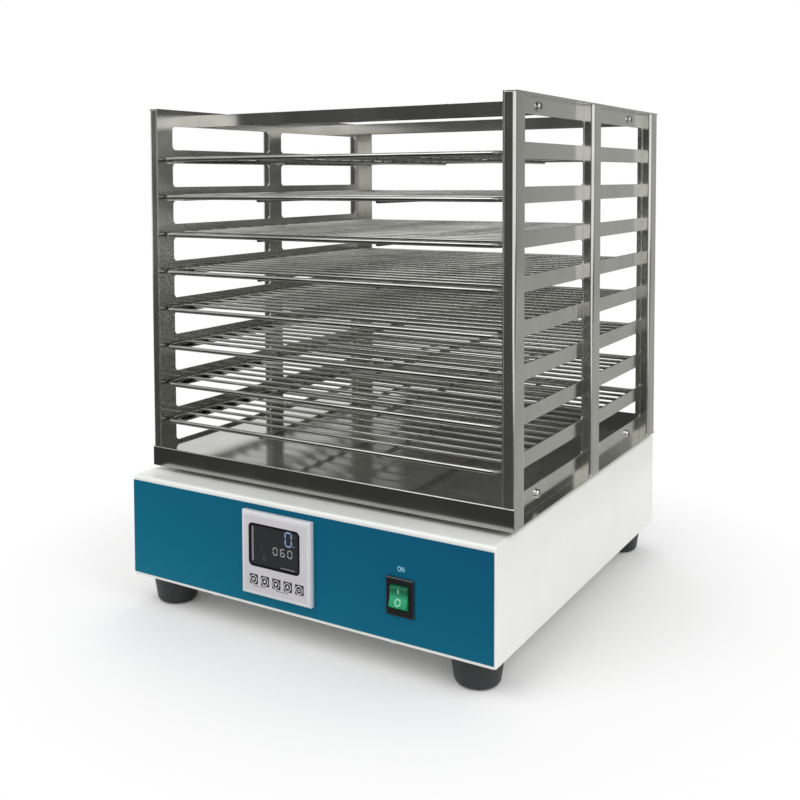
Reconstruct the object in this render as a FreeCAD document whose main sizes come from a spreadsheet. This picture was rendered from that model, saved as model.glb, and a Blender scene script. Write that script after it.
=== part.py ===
import FreeCAD
import Part
import math
import operator
import os
from types import SimpleNamespace

import Sketcher

# Platelet shaker: a bench base with a crank drive, and on it a stainless carriage with eight wire
# shelves that rocks from side to side. Millimetres, +Z up, +X to the right of the front panel, +Y to
# the back. The origin is on the standing surface, under the middle of the whole machine.

doc = FreeCAD.newDocument("platelet_shaker")

# Driving sizes: name, value, what it measures
DRIVING_SIZES = (
    ("casing_width", 368, "painted casing, side to side"),
    ("casing_depth", 404, "painted casing, front to back"),
    ("casing_height", 93.7, "painted casing, without the feet"),
    ("casing_wall", 1.5, "steel sheet of the casing"),
    ("casing_radius", 2.5, "outer bends of the casing"),
    ("casing_lip", 14, "inward flange round the bottom of the casing"),
    ("plate_thickness", 1.5, "bottom plate"),
    ("plate_inset", 3, "bottom plate inside the casing's outline"),
    ("foot_height", 25.5, "rubber foot below the bottom plate"),
    ("foot_top_radius", 22, "rubber foot at its top"),
    ("foot_bottom_radius", 18, "rubber foot at its bottom"),
    ("foot_inset", 28, "foot axis from the casing's sides"),
    ("foot_stud_radius", 3, "stud moulded into the top of the foot"),
    ("foot_nut_radius", 5.1, "nut on the foot's stud, across its flats"),
    ("foot_nut_height", 5, "nut on the foot's stud"),
    ("foot_stud_end", 2, "end of the foot's stud above its nut"),
    ("cover_screw_radius", 2, "screw through the bottom plate into the casing's flange"),
    ("cover_head_radius", 3.8, "head of the cover screw"),
    ("cover_screw_end", 3, "end of the cover screw above the casing's flange"),
    ("overlay_thickness", 0.8, "blue front panel"),
    ("overlay_top_margin", 4.5, "white edge above the blue panel"),
    ("overlay_bottom_margin", 2.6, "white edge below the blue panel"),
    ("overlay_side_margin", 1.2, "white edge beside the blue panel"),
    ("cut_play", 0.6, "panel cut-out wider than what stands in it"),
    ("meter_face", 72, "meter bezel, square"),
    ("meter_body", 67, "meter body behind the panel, square"),
    ("meter_proud", 6, "meter bezel in front of the casing"),
    ("meter_depth", 70, "meter body behind the casing's front"),
    ("meter_x", -15.9, "meter centre from the casing's middle"),
    ("meter_z", 48.4, "meter centre above the casing's bottom edge"),
    ("window_width", 54, "meter display window"),
    ("window_height", 38, "meter display window"),
    ("window_x", -1.1, "display window from the meter's centre"),
    ("window_z", 8, "display window from the meter's centre"),
    ("window_thickness", 1.2, "meter display window"),
    ("window_recess", 0.2, "display window behind the bezel's face"),
    ("key_side", 8.4, "meter key, square"),
    ("key_pitch", 11.9, "meter keys, centre to centre"),
    ("key_x", 1.3, "middle key from the meter's centre"),
    ("key_z", -22, "keys from the meter's centre"),
    ("key_depth", 5, "meter key, front to back"),
    ("key_proud", 0.8, "meter key in front of its bezel"),
    ("key_travel", 0.6, "meter key when pressed"),
    ("key_play", 0.25, "meter key to the sides of its hole"),
    ("key_edge", 0.6, "sloped edge of a meter key"),
    ("bezel_edge", 1.5, "sloped edge of the meter bezel"),
    ("clip_thickness", 4, "clips that hold the meter in the panel"),
    ("clip_length", 16, "meter clip, front to back"),
    ("clip_height", 24, "meter clip"),
    ("switch_width", 25, "switch bezel"),
    ("switch_height", 31, "switch bezel"),
    ("switch_proud", 2, "switch bezel in front of the panel"),
    ("switch_body_width", 21.5, "switch body behind the panel"),
    ("switch_body_height", 27.5, "switch body behind the panel"),
    ("switch_depth", 26, "switch body behind the casing's front"),
    ("switch_x", 102.8, "switch centre from the casing's middle"),
    ("switch_z", 38.7, "switch centre above the casing's bottom edge"),
    ("switch_edge", 0.9, "sloped edge of the switch bezel"),
    ("rocker_width", 15.6, "switch rocker"),
    ("rocker_play", 0.35, "switch rocker to its case"),
    ("rocker_radius", 10, "switch rocker round its pivot"),
    ("rocker_pivot", 4, "switch pivot behind the bezel's face"),
    ("rocker_valley", 5.5, "valley of the rocker's face in front of its pivot"),
    ("rocker_face_tilt", 11, "each half of the rocker's face, degrees"),
    ("rocker_throw", 7, "rocker to each side of its middle, degrees"),
    ("inlet_width", 31, "mains inlet flange"),
    ("inlet_height", 37, "mains inlet flange"),
    ("inlet_flange", 2.5, "mains inlet flange, thickness"),
    ("inlet_depth", 30, "mains inlet behind the casing's back"),
    ("inlet_margin", 2, "mains inlet flange beyond its body"),
    ("inlet_corner", 2.5, "cut corners of the mains inlet flange"),
    ("inlet_x", -112, "mains inlet from the casing's middle"),
    ("inlet_z", 48, "mains inlet above the casing's bottom edge"),
    ("inlet_edge", 4, "socket and fuse drawer from the ends of the flange"),
    ("socket_width", 24, "mains socket hollow"),
    ("socket_height", 16.4, "mains socket hollow"),
    ("socket_depth", 17, "mains socket hollow"),
    ("socket_corner", 4, "cut upper corners of the mains socket"),
    ("pin_spacing", 7, "outer mains pins from the middle one"),
    ("pin_offset", 2, "mains pins above or below the socket's middle"),
    ("pin_width", 2, "mains pin"),
    ("pin_height", 4, "mains pin"),
    ("pin_recess", 3, "mains pin inside the flange's face"),
    ("fuse_width", 20, "fuse drawer"),
    ("fuse_height", 7.6, "fuse drawer"),
    ("fuse_depth", 15, "fuse drawer"),
    ("fuse_play", 0.2, "fuse drawer to its hollow, at each side"),
    ("fuse_grip", 1, "grip of the fuse drawer behind the inlet's flange"),
    ("grip_width", 10, "grip of the fuse drawer"),
    ("grip_inset", 1, "grip of the fuse drawer above its lower edge"),
    ("carriage_width", 368, "carriage, side to side"),
    ("carriage_depth", 368, "carriage, front to back"),
    ("carriage_height", 335.5, "carriage, bottom to top"),
    ("carriage_back", 5.1, "carriage middle behind the casing's middle"),
    ("carriage_gap", 4.5, "air between the casing's top and the carriage"),
    ("carriage_rest", 4.5, "carriage stands this far right of its middle position"),
    ("stroke", 38, "carriage, from one end of its travel to the other"),
    ("sheet", 1.2, "stainless sheet of the carriage"),
    ("post_width", 21, "upright post, front to back"),
    ("post_depth", 9, "upright post, outside the side sheet"),
    ("post_bend", 3, "outer bends of a post"),
    ("level_count", 8, "shelf levels"),
    ("level_pitch", 35.07, "one shelf level to the next"),
    ("rail_height", 13.1, "side rail between two windows"),
    ("lowest_rail", 39.3, "bottom edge of the lowest rail above the carriage's bottom"),
    ("lowest_window", 20.6, "lower edge of the lowest window above the carriage's bottom"),
    ("window_corner", 2.5, "rounded corners of the side windows"),
    ("ledge_width", 10, "folded ledge under each rail"),
    ("back_stop", 10, "inward flange behind the shelves"),
    ("tray_height", 18, "tray floor above the carriage's bottom"),
    ("tray_return", 9, "inward return of the tray's front flange"),
    ("tray_edge", 1, "rounded top edge of the tray's front"),
    ("bar_depth", 16, "top cross bar, front to back"),
    ("bar_height", 11.5, "top cross bar"),
    ("bar_drop", 3.5, "top cross bar below the top of the carriage"),
    ("bar_spacing", 234, "from the front cross bar to the rear one"),
    ("frame_bolt_radius", 2.5, "bolts of the carriage frame"),
    ("bolt_head_radius", 4.25, "head of a frame bolt"),
    ("bolt_head_height", 2.6, "head of a frame bolt"),
    ("bolt_nut_radius", 3.75, "nut of a frame bolt, across its flats"),
    ("bolt_nut_height", 3.5, "nut of a frame bolt"),
    ("top_bolt_drop", 8.7, "upper frame bolts below the top of the carriage"),
    ("low_bolt_rise", 11.5, "lower frame bolts above the carriage's bottom"),
    ("frame_rod_radius", 2.1, "outer rod of a wire shelf"),
    ("cross_rod_radius", 1.5, "thin rods of a wire shelf"),
    ("stay_rod_radius", 1.9, "front-to-back rods under the thin rods"),
    ("cross_rise", 1.3, "thin rods above the outer rod, centre to centre"),
    ("stay_spacing", 122, "between the two front-to-back rods"),
    ("shelf_play", 1.4, "shelf to the sheet at each side"),
    ("shelf_inset", 2.5, "shelf behind the carriage's front"),
    ("shelf_corner", 9, "corners of a wire shelf"),
    ("cross_first", 28.4, "first thin rod behind the shelf's front rod"),
    ("cross_pitch", 21, "thin rods, centre to centre"),
    ("cross_count", 16, "thin rods of one shelf"),
    ("seat_gap", 0.4, "shelf above its ledges"),
    ("guide_radius", 6, "hardened guide rod"),
    ("guide_height", 66, "guide rod axis above the casing's bottom edge"),
    ("guide_length", 320, "guide rod"),
    ("guide_spacing", 230, "front guide rod to rear guide rod"),
    ("guide_play", 0.05, "guide rod in its bearings, at each side"),
    ("support_width", 20, "guide rod support, along the rod"),
    ("support_depth", 42, "guide rod support foot, across the rod"),
    ("support_wall", 8, "guide rod support round the rod"),
    ("support_foot", 8, "guide rod support foot, thickness"),
    ("block_length", 36, "linear bearing block, along the rod"),
    ("block_width", 42, "linear bearing block, across the rod"),
    ("block_height", 27, "linear bearing block"),
    ("block_spacing", 190, "left bearing blocks to right ones"),
    ("spacer_radius", 7, "spacer post between a bearing block and the tray"),
    ("slot_play", 2, "spacer post to the end of its slot"),
    ("slot_width", 18, "slots in the casing's top"),
    ("slot_corner", 4, "corners of the slots"),
    ("shaft_radius", 4, "gear motor shaft"),
    ("shaft_end_play", 0.5, "gear motor shaft above the end of its bore"),
    ("gearbox_side", 60, "gearbox, square"),
    ("gearbox_height", 30, "gearbox"),
    ("motor_radius", 26, "motor can"),
    ("motor_height", 36, "motor can"),
    ("pilot_radius", 10, "raised ring round the gearbox shaft"),
    ("pilot_recess", 0.2, "raised ring below the top of the bracket"),
    ("bracket_sheet", 2.5, "motor bracket"),
    ("bracket_top", 72, "top face of the motor bracket above the bottom plate"),
    ("bracket_width", 76, "motor bracket between its legs"),
    ("bracket_depth", 70, "motor bracket, front to back"),
    ("bracket_foot", 14, "motor bracket feet"),
    ("motor_screw_radius", 2, "screws that hold the gearbox to its bracket"),
    ("motor_head_radius", 3.6, "head of a gearbox screw"),
    ("motor_screw_inset", 6, "gearbox screws from the gearbox's sides"),
    ("crank_radius", 27, "crank disc"),
    ("crank_thickness", 6, "crank disc"),
    ("crank_hub_radius", 11, "hub under the crank disc"),
    ("crank_hub_height", 8, "hub under the crank disc"),
    ("crank_lift", 1, "hub above the motor bracket"),
    ("pin_radius", 4, "shoulder of the crank pin"),
    ("pin_seat_radius", 3, "end of the crank pin in the disc"),
    ("pin_collar", 2, "hexagon collar of the crank pin beyond its shoulder"),
    ("pin_head_radius", 6.5, "head of the crank pin"),
    ("pin_head_height", 1.2, "head of the crank pin"),
    ("roller_radius", 11, "ball bearing on the crank pin"),
    ("roller_height", 7, "ball bearing on the crank pin"),
    ("roller_play", 0.1, "ball bearing below the head of the pin"),
    ("yoke_gap", 0.4, "crank pin below the open yoke"),
    ("yoke_play", 0.3, "yoke bar to the roller"),
    ("yoke_wall", 5, "yoke bars"),
    ("yoke_depth", 13.2, "yoke below the tray's floor"),
    ("yoke_top", 2, "plate that joins the yoke bars"),
    ("yoke_length", 70, "yoke, front to back"),
    ("crank_hole_play", 3, "crank pin's roller to the hole in the casing's top"),
    ("supply_length", 98, "power supply, side to side"),
    ("supply_depth", 82, "power supply, front to back"),
    ("supply_height", 32, "power supply"),
    ("board_length", 84, "speed control board, side to side"),
    ("board_depth", 68, "speed control board, front to back"),
    ("board_thickness", 1.6, "speed control board"),
    ("spacer_height", 6, "spacers under the electrical parts"),
    ("spacer_foot_radius", 3, "spacers under the electrical parts"),
    ("spacer_inset", 5, "spacers from the edges of the part on them"),
    ("electrics_back", 60, "front edge of the electrical parts behind the casing's middle"),
    ("supply_aside", 34, "power supply left of the casing's middle"),
    ("board_aside", 50, "speed control board right of the casing's middle"),
)

sheet_object = doc.addObject("Spreadsheet::Sheet", "Sizes")
for row, (alias, value, meaning) in enumerate(DRIVING_SIZES, start=1):
    sheet_object.set(f"A{row}", meaning)
    sheet_object.set(f"B{row}", str(value))
    sheet_object.setAlias(f"B{row}", alias)
doc.recompute()

SIGNS = {"+": operator.add, "-": operator.sub, "*": operator.mul, "/": operator.truediv}


class Size:
    """A size from the sheet, or one worked out from it: its expression and its value now."""

    def __init__(self, text, value):
        self.text = text
        self.value = float(value)

    def __add__(self, other):
        return join(self, "+", other)

    def __radd__(self, other):
        return join(other, "+", self)

    def __sub__(self, other):
        return join(self, "-", other)

    def __rsub__(self, other):
        return join(other, "-", self)

    def __mul__(self, other):
        return join(self, "*", other)

    def __rmul__(self, other):
        return join(other, "*", self)

    def __truediv__(self, other):
        return join(self, "/", other)

    def __neg__(self):
        return join(-1, "*", self)


def as_size(number):
    """A plain number as a Size; a Size stays as it is."""
    return number if isinstance(number, Size) else Size(f"({number})", number)


def join(first, sign, second):
    """Two sizes joined by a sign, both as an expression and as a value."""
    a, b = as_size(first), as_size(second)
    return Size(f"({a.text} {sign} {b.text})", SIGNS[sign](a.value, b.value))


S = SimpleNamespace(
    **{alias: Size(f"Sizes.{alias}", value) for alias, value, _ in DRIVING_SIZES}
)
ZERO = as_size(0)

# Heights that several pieces share, from the standing surface
plate_bottom = S.foot_height
casing_bottom = plate_bottom + S.plate_thickness
casing_top = casing_bottom + S.casing_height
carriage_bottom = casing_top + S.carriage_gap
guide_z = casing_bottom + S.guide_height
bracket_face = casing_bottom + S.bracket_top
tray_underside = carriage_bottom + S.tray_height - S.sheet

# Places that several pieces share, from the middle of the casing
half_width = S.casing_width / 2
half_depth = S.casing_depth / 2
casing_front = -half_depth
overlay_front = casing_front - S.overlay_thickness
bezel_front = casing_front - S.meter_proud
crank_y = S.carriage_back
crank_throw = S.stroke / 2

# Places in the carriage, from the middle of its bottom
carriage_x = S.carriage_width / 2
carriage_y = S.carriage_depth / 2
sheet_outside = carriage_x - S.post_depth
sheet_inside = sheet_outside - S.sheet

# The casing stands off the origin so that the whole machine, carriage at rest, has its middle there
casing_left = half_width
carriage_right = S.carriage_width / 2 + S.carriage_rest
front_reach = half_depth + S.meter_proud + S.key_proud
back_reach = half_depth + S.inlet_flange + S.fuse_grip
BASE_PLACE = ((casing_left - carriage_right) / 2, (front_reach - back_reach) / 2, ZERO)
CARRIAGE_PLACE = (
    BASE_PLACE[0] + S.carriage_rest,
    BASE_PLACE[1] + S.carriage_back,
    carriage_bottom,
)

PLANES = {"X": "YZ_Plane", "Y": "XZ_Plane", "Z": "XY_Plane"}
ALONG = {
    "X": FreeCAD.Rotation(FreeCAD.Vector(0, 1, 0), 90),
    "Y": FreeCAD.Rotation(FreeCAD.Vector(1, 0, 0), -90),
    "Z": FreeCAD.Rotation(),
}
nodes = []


def bind(thing, path, number):
    """Ties one property to the sheet."""
    thing.setExpression(path, as_size(number).text)


def put(thing, place):
    """Ties a piece's placement to the sheet."""
    for letter, number in zip("xyz", place):
        bind(thing, f".Placement.Base.{letter}", number)


def keep(thing, label, place):
    """Names a finished sub-part, places it and puts it on the list of nodes."""
    thing.Label = label
    put(thing, place)
    nodes.append(thing)
    return thing


# Part primitives and booleans


def block(x, y, z):
    """A box between three pairs of sizes."""
    box = doc.addObject("Part::Box", "block")
    for name, (low, high) in zip(("Length", "Width", "Height"), (x, y, z)):
        bind(box, name, as_size(high) - low)
    put(box, (x[0], y[0], z[0]))
    return box


def rod(axis, start, end, centre, radius):
    """A round rod along an axis; centre gives its other two coordinates, in X, Y, Z order."""
    cylinder = doc.addObject("Part::Cylinder", "rod")
    bind(cylinder, "Radius", radius)
    bind(cylinder, "Height", as_size(end) - start)
    cylinder.Placement = FreeCAD.Placement(FreeCAD.Vector(), ALONG[axis])
    place = list(centre)
    place.insert("XYZ".index(axis), start)
    put(cylinder, place)
    return cylinder


def bar(axis, start, end, centre, radius, sides):
    """A rod with flat sides, as wide across its flats as a round one; flats face the other axes."""
    prism = doc.addObject("Part::Prism", "bar")
    prism.Polygon = sides
    bind(prism, "Circumradius", as_size(radius) / round(math.cos(math.pi / sides), 4))
    bind(prism, "Height", as_size(end) - start)
    spin = FreeCAD.Rotation(FreeCAD.Vector(0, 0, 1), 180 / sides)
    prism.Placement = FreeCAD.Placement(FreeCAD.Vector(), ALONG[axis] * spin)
    place = list(centre)
    place.insert("XYZ".index(axis), start)
    put(prism, place)
    return prism


def join_up(pieces):
    """Pieces fused into one solid."""
    fuse = doc.addObject("Part::MultiFuse", "fuse")
    fuse.Shapes = pieces
    fuse.Refine = True
    return fuse


def cut_out(piece, tools):
    """A piece less its tools."""
    cut = doc.addObject("Part::Cut", "cut")
    cut.Base = piece
    cut.Tool = tools[0] if len(tools) == 1 else join_up(tools)
    cut.Refine = True
    return cut


def group(pieces):
    """Separate like pieces in one node."""
    compound = doc.addObject("Part::Compound", "group")
    compound.Links = pieces
    return compound


# Sketches and features of a body


def sketch_on(body, axis, at):
    """A sketch across an axis of its own body, at a height along that axis."""
    sketch = body.newObject("Sketcher::SketchObject", "sketch")
    plane = [f for f in body.Origin.OriginFeatures if f.Role == PLANES[axis]][0]
    sketch.AttachmentSupport = [(plane, "")]
    sketch.MapMode = "FlatFace"
    # the front plane's sketch looks along +Y, so its normal points to the front
    bind(sketch, ".AttachmentOffset.Base.z", -as_size(at) if axis == "Y" else at)
    return sketch


def hold(sketch, kind, geometry, point, number):
    """Holds one point of a sketch at a distance from its origin, tied to the sheet."""
    index = sketch.addConstraint(
        Sketcher.Constraint(kind, -1, 1, geometry, point, as_size(number).value)
    )
    bind(sketch, f"Constraints[{index}]", number)


def draw_outline(sketch, corners):
    """A closed straight-sided outline, every corner tied to the sheet."""
    first = sketch.GeometryCount
    spots = [FreeCAD.Vector(as_size(a).value, as_size(b).value, 0) for a, b in corners]
    for start, end in zip(spots, spots[1:] + spots[:1]):
        sketch.addGeometry(Part.LineSegment(start, end), False)
    for i, (a, b) in enumerate(corners):
        after = first + (i + 1) % len(corners)
        sketch.addConstraint(Sketcher.Constraint("Coincident", first + i, 2, after, 1))
        hold(sketch, "DistanceX", first + i, 1, a)
        hold(sketch, "DistanceY", first + i, 1, b)


def draw_box(sketch, x, y):
    """A rectangle between two pairs of sizes."""
    draw_outline(sketch, [(x[0], y[0]), (x[1], y[0]), (x[1], y[1]), (x[0], y[1])])


def draw_circle(sketch, centre, radius):
    """A circle whose centre and radius are tied to the sheet."""
    a, b = (as_size(number) for number in centre)
    middle = FreeCAD.Vector(a.value, b.value, 0)
    circle = Part.Circle(middle, FreeCAD.Vector(0, 0, 1), as_size(radius).value)
    index = sketch.addGeometry(circle, False)
    hold(sketch, "DistanceX", index, 3, a)
    hold(sketch, "DistanceY", index, 3, b)
    number = sketch.addConstraint(
        Sketcher.Constraint("Radius", index, as_size(radius).value)
    )
    bind(sketch, f"Constraints[{number}]", radius)


def draw_cut_box(sketch, x, y, corner):
    """A rectangle with its corners cut at a slant."""
    (x0, x1), (y0, y1) = x, y
    draw_outline(
        sketch,
        [
            (x0 + corner, y0),
            (x1 - corner, y0),
            (x1, y0 + corner),
            (x1, y1 - corner),
            (x1 - corner, y1),
            (x0 + corner, y1),
            (x0, y1 - corner),
            (x0, y0 + corner),
        ],
    )


def draw_flats(sketch, centre, radius, sides=8):
    """A small hole drawn with flat sides, as wide across its flats as a round one."""
    reach = as_size(radius) / round(math.cos(math.pi / sides), 4)
    turns = [(i + 0.5) * 2 * math.pi / sides for i in range(sides)]
    draw_outline(
        sketch,
        [
            (
                centre[0] + reach * round(math.cos(turn), 4),
                centre[1] + reach * round(math.sin(turn), 4),
            )
            for turn in turns
        ],
    )


def new_body():
    """An empty body."""
    return doc.addObject("PartDesign::Body", "body")


def pad(body, axis, span, draw):
    """Adds what draw puts in a sketch, between the two ends of span along the axis."""
    low, high = (as_size(number) for number in span)
    sketch = sketch_on(body, axis, high if axis == "Y" else low)
    draw(sketch)
    feature = body.newObject("PartDesign::Pad", "pad")
    feature.Profile = sketch
    bind(feature, "Length", high - low)
    return feature


def pocket(body, axis, span, draw):
    """Takes away what draw puts in a sketch, between the two ends of span along the axis."""
    low, high = (as_size(number) for number in span)
    sketch = sketch_on(body, axis, low if axis == "Y" else high)
    draw(sketch)
    feature = body.newObject("PartDesign::Pocket", "pocket")
    feature.Profile = sketch
    bind(feature, "Length", high - low)
    return feature


def repeat(body, feature, axis_name, step, count):
    """Repeats a feature in a row along one direction of its own sketch."""
    pattern = body.newObject("PartDesign::LinearPattern", "pattern")
    pattern.Originals = [feature]
    pattern.Direction = (feature.Profile[0], [axis_name])
    bind(pattern, "Length", as_size(step) * (count - 1))
    bind(pattern, "Occurrences", count)
    body.Tip = pattern
    return pattern


def edges_along(shape, axis, test):
    """Names of the straight edges along an axis whose middle passes the test."""
    names = []
    for number, edge in enumerate(shape.Edges, start=1):
        if edge.Curve.TypeId != "Part::GeomLine":
            continue
        run = edge.Vertexes[-1].Point - edge.Vertexes[0].Point
        if abs(run["XYZ".index(axis)]) > 0.999 * run.Length and test(edge.CenterOfMass):
            names.append(f"Edge{number}")
    return names


def dress(body, kind, size_name, size, picks):
    """Fillets or chamfers the picked edges; each pick is an axis and a test on its middle."""
    doc.recompute()
    base = body.Tip
    names = [name for axis, test in picks for name in edges_along(base.Shape, axis, test)]
    feature = body.newObject(kind, "edge")
    feature.Base = (base, names)
    bind(feature, size_name, size)
    return feature


def fillet(body, radius, picks):
    """Rounds the picked edges."""
    return dress(body, "PartDesign::Fillet", "Radius", radius, picks)


def chamfer(body, size, picks):
    """Cuts the picked edges at a slant."""
    return dress(body, "PartDesign::Chamfer", "Size", size, picks)


def close_to(a, b):
    """Whether two lengths are the same to a hundredth."""
    return abs(a - as_size(b).value) < 0.01


# Base: casing, bottom plate and feet

foot_x = half_width - S.foot_inset
foot_y = half_depth - S.foot_inset
slot_half = S.stroke / 2 + S.spacer_radius + S.slot_play
post_rows = [S.carriage_back + sign * S.guide_spacing / 2 for sign in (-1, 1)]
post_columns = [sign * S.block_spacing / 2 for sign in (-1, 1)]
lip_middle = S.casing_wall + S.casing_lip / 2
cover_screw_spots = [
    (sign * (half_width - lip_middle), end * half_depth / 3)
    for sign in (-1, 1)
    for end in (-1, 1)
] + [
    (sign * half_width / 2, end * (half_depth - lip_middle))
    for sign in (-1, 1)
    for end in (-1, 1)
]
meter_centre = (S.meter_x, casing_bottom + S.meter_z)
switch_centre = (S.switch_x, casing_bottom + S.switch_z)
inlet_centre = (S.inlet_x, casing_bottom + S.inlet_z)


def around(middle, whole):
    """The two ends of a length set evenly about its middle."""
    return (middle - whole / 2, middle + whole / 2)


casing = new_body()
pad(
    casing,
    "Z",
    (casing_bottom, casing_top),
    lambda s: draw_box(s, (-half_width, half_width), (-half_depth, half_depth)),
)
fillet(
    casing,
    S.casing_radius,
    [
        ("Z", lambda p: True),
        ("X", lambda p: close_to(p.z, casing_top)),
        ("Y", lambda p: close_to(p.z, casing_top)),
    ],
)
inner_x = half_width - S.casing_wall
inner_y = half_depth - S.casing_wall
pocket(
    casing,
    "Z",
    (casing_bottom + S.casing_wall, casing_top - S.casing_wall),
    lambda s: draw_box(s, (-inner_x, inner_x), (-inner_y, inner_y)),
)
pocket(
    casing,
    "Z",
    (casing_bottom, casing_bottom + S.casing_wall),
    lambda s: draw_box(
        s,
        (S.casing_lip - inner_x, inner_x - S.casing_lip),
        (S.casing_lip - inner_y, inner_y - S.casing_lip),
    ),
)


def draw_top_slots(sketch):
    for x in post_columns:
        for y in post_rows:
            draw_cut_box(
                sketch,
                around(x, slot_half * 2),
                around(y, S.slot_width),
                S.slot_corner,
            )
    hole = crank_throw + S.roller_radius + S.crank_hole_play
    draw_flats(sketch, (ZERO, crank_y), hole, 24)


pocket(casing, "Z", (casing_top - S.casing_wall, casing_top), draw_top_slots)


def draw_front_openings(sketch):
    draw_box(
        sketch,
        around(meter_centre[0], S.meter_body + S.cut_play),
        around(meter_centre[1], S.meter_body + S.cut_play),
    )
    draw_box(
        sketch,
        around(switch_centre[0], S.switch_body_width + S.cut_play),
        around(switch_centre[1], S.switch_body_height + S.cut_play),
    )


pocket(casing, "Y", (casing_front, casing_front + S.casing_wall), draw_front_openings)
inlet_body_width = S.inlet_width - 2 * S.inlet_margin
inlet_body_height = S.inlet_height - 2 * S.inlet_margin
pocket(
    casing,
    "Y",
    (inner_y, half_depth),
    lambda s: draw_box(
        s,
        around(inlet_centre[0], inlet_body_width + S.cut_play),
        around(inlet_centre[1], inlet_body_height + S.cut_play),
    ),
)


def draw_cover_holes(sketch):
    for spot in cover_screw_spots:
        draw_flats(sketch, spot, S.cover_screw_radius)


pocket(
    casing, "Z", (casing_bottom, casing_bottom + S.casing_wall), draw_cover_holes
)
keep(casing, "base_cover", BASE_PLACE)

foot_spots = {
    "front_left": (-foot_x, -foot_y),
    "front_right": (foot_x, -foot_y),
    "rear_left": (-foot_x, foot_y),
    "rear_right": (foot_x, foot_y),
}


def draw_plate_holes(sketch):
    draw_cover_holes(sketch)
    for spot in foot_spots.values():
        draw_flats(sketch, spot, S.foot_stud_radius)


plate_x = half_width - S.plate_inset
plate_y = half_depth - S.plate_inset
bottom_plate = new_body()
pad(
    bottom_plate,
    "Z",
    (plate_bottom, casing_bottom),
    lambda s: draw_box(s, (-plate_x, plate_x), (-plate_y, plate_y)),
)
pocket(bottom_plate, "Z", (plate_bottom, casing_bottom), draw_plate_holes)
keep(bottom_plate, "bottom_plate", BASE_PLACE)


def make_foot(label, spot):
    """Rubber foot: a taper, wider at the top."""
    foot = new_body()
    core = pad(
        foot,
        "Z",
        (ZERO, S.foot_height),
        lambda s: draw_flats(s, (ZERO, ZERO), S.foot_bottom_radius, 32),
    )
    doc.recompute()
    upright = [f.normalAt(0, 0).z for f in core.Shape.Faces]
    draft = foot.newObject("PartDesign::Draft", "draft")
    draft.Base = (core, [f"Face{i}" for i, z in enumerate(upright, 1) if abs(z) < 0.5])
    draft.NeutralPlane = (core, [f"Face{i}" for i, z in enumerate(upright, 1) if z < -0.5])
    draft.Reversed = True
    widening = S.foot_top_radius - S.foot_bottom_radius
    slope = math.degrees(math.atan(widening.value / S.foot_height.value))
    bind(draft, "Angle", Size(f"atan({widening.text} / {S.foot_height.text})", slope))
    keep(foot, label, (BASE_PLACE[0] + spot[0], BASE_PLACE[1] + spot[1], ZERO))


for name, spot in foot_spots.items():
    make_foot(f"foot_{name}", spot)

foot_studs = []
for spot in foot_spots.values():
    nut_top = casing_bottom + S.foot_nut_height
    stud = bar("Z", plate_bottom, nut_top + S.foot_stud_end, spot, S.foot_stud_radius, 8)
    nut = bar("Z", casing_bottom, nut_top, spot, S.foot_nut_radius, 6)
    foot_studs.append(join_up([stud, nut]))
keep(group(foot_studs), "foot_studs", BASE_PLACE)

cover_screws = []
for spot in cover_screw_spots:
    r = S.cover_screw_radius
    shank_end = casing_bottom + S.casing_wall + S.cover_screw_end
    head = bar("Z", plate_bottom - r, plate_bottom, spot, S.cover_head_radius, 6)
    shank = bar("Z", plate_bottom, shank_end, spot, r, 8)
    cover_screws.append(join_up([head, shank]))
keep(group(cover_screws), "cover_screws", BASE_PLACE)

# Front panel with its meter and its switch

overlay = new_body()
overlay_x = half_width - S.overlay_side_margin
pad(
    overlay,
    "Y",
    (overlay_front, casing_front),
    lambda s: draw_box(
        s,
        (-overlay_x, overlay_x),
        (casing_bottom + S.overlay_bottom_margin, casing_top - S.overlay_top_margin),
    ),
)
pocket(overlay, "Y", (overlay_front, casing_front), draw_front_openings)
keep(overlay, "front_overlay", BASE_PLACE)

window_centre = (meter_centre[0] + S.window_x, meter_centre[1] + S.window_z)
key_centres = [
    (meter_centre[0] + S.key_x + step * S.key_pitch, meter_centre[1] + S.key_z)
    for step in (-2, -1, 0, 1, 2)
]
meter = new_body()
pad(
    meter,
    "Y",
    (bezel_front, overlay_front),
    lambda s: draw_box(
        s, around(meter_centre[0], S.meter_face), around(meter_centre[1], S.meter_face)
    ),
)
chamfer(
    meter,
    S.bezel_edge,
    [
        ("X", lambda p: close_to(p.y, bezel_front)),
        ("Z", lambda p: close_to(p.y, bezel_front)),
    ],
)
pad(
    meter,
    "Y",
    (overlay_front, casing_front + S.meter_depth),
    lambda s: draw_box(
        s, around(meter_centre[0], S.meter_body), around(meter_centre[1], S.meter_body)
    ),
)
pocket(
    meter,
    "Y",
    (bezel_front, bezel_front + S.window_thickness),
    lambda s: draw_box(
        s,
        around(window_centre[0], S.window_width),
        around(window_centre[1], S.window_height),
    ),
)


def draw_key_holes(sketch):
    for x, z in key_centres:
        side = S.key_side + 2 * S.key_play
        draw_box(sketch, around(x, side), around(z, side))


key_hole_depth = S.key_depth - S.key_proud + S.key_travel + S.key_play
pocket(meter, "Y", (bezel_front, bezel_front + key_hole_depth), draw_key_holes)
keep(meter, "meter_case", BASE_PLACE)

window = new_body()
pad(
    window,
    "Y",
    (bezel_front + S.window_recess, bezel_front + S.window_thickness),
    lambda s: draw_box(
        s,
        around(window_centre[0], S.window_width),
        around(window_centre[1], S.window_height),
    ),
)
keep(window, "meter_window", BASE_PLACE)


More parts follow.
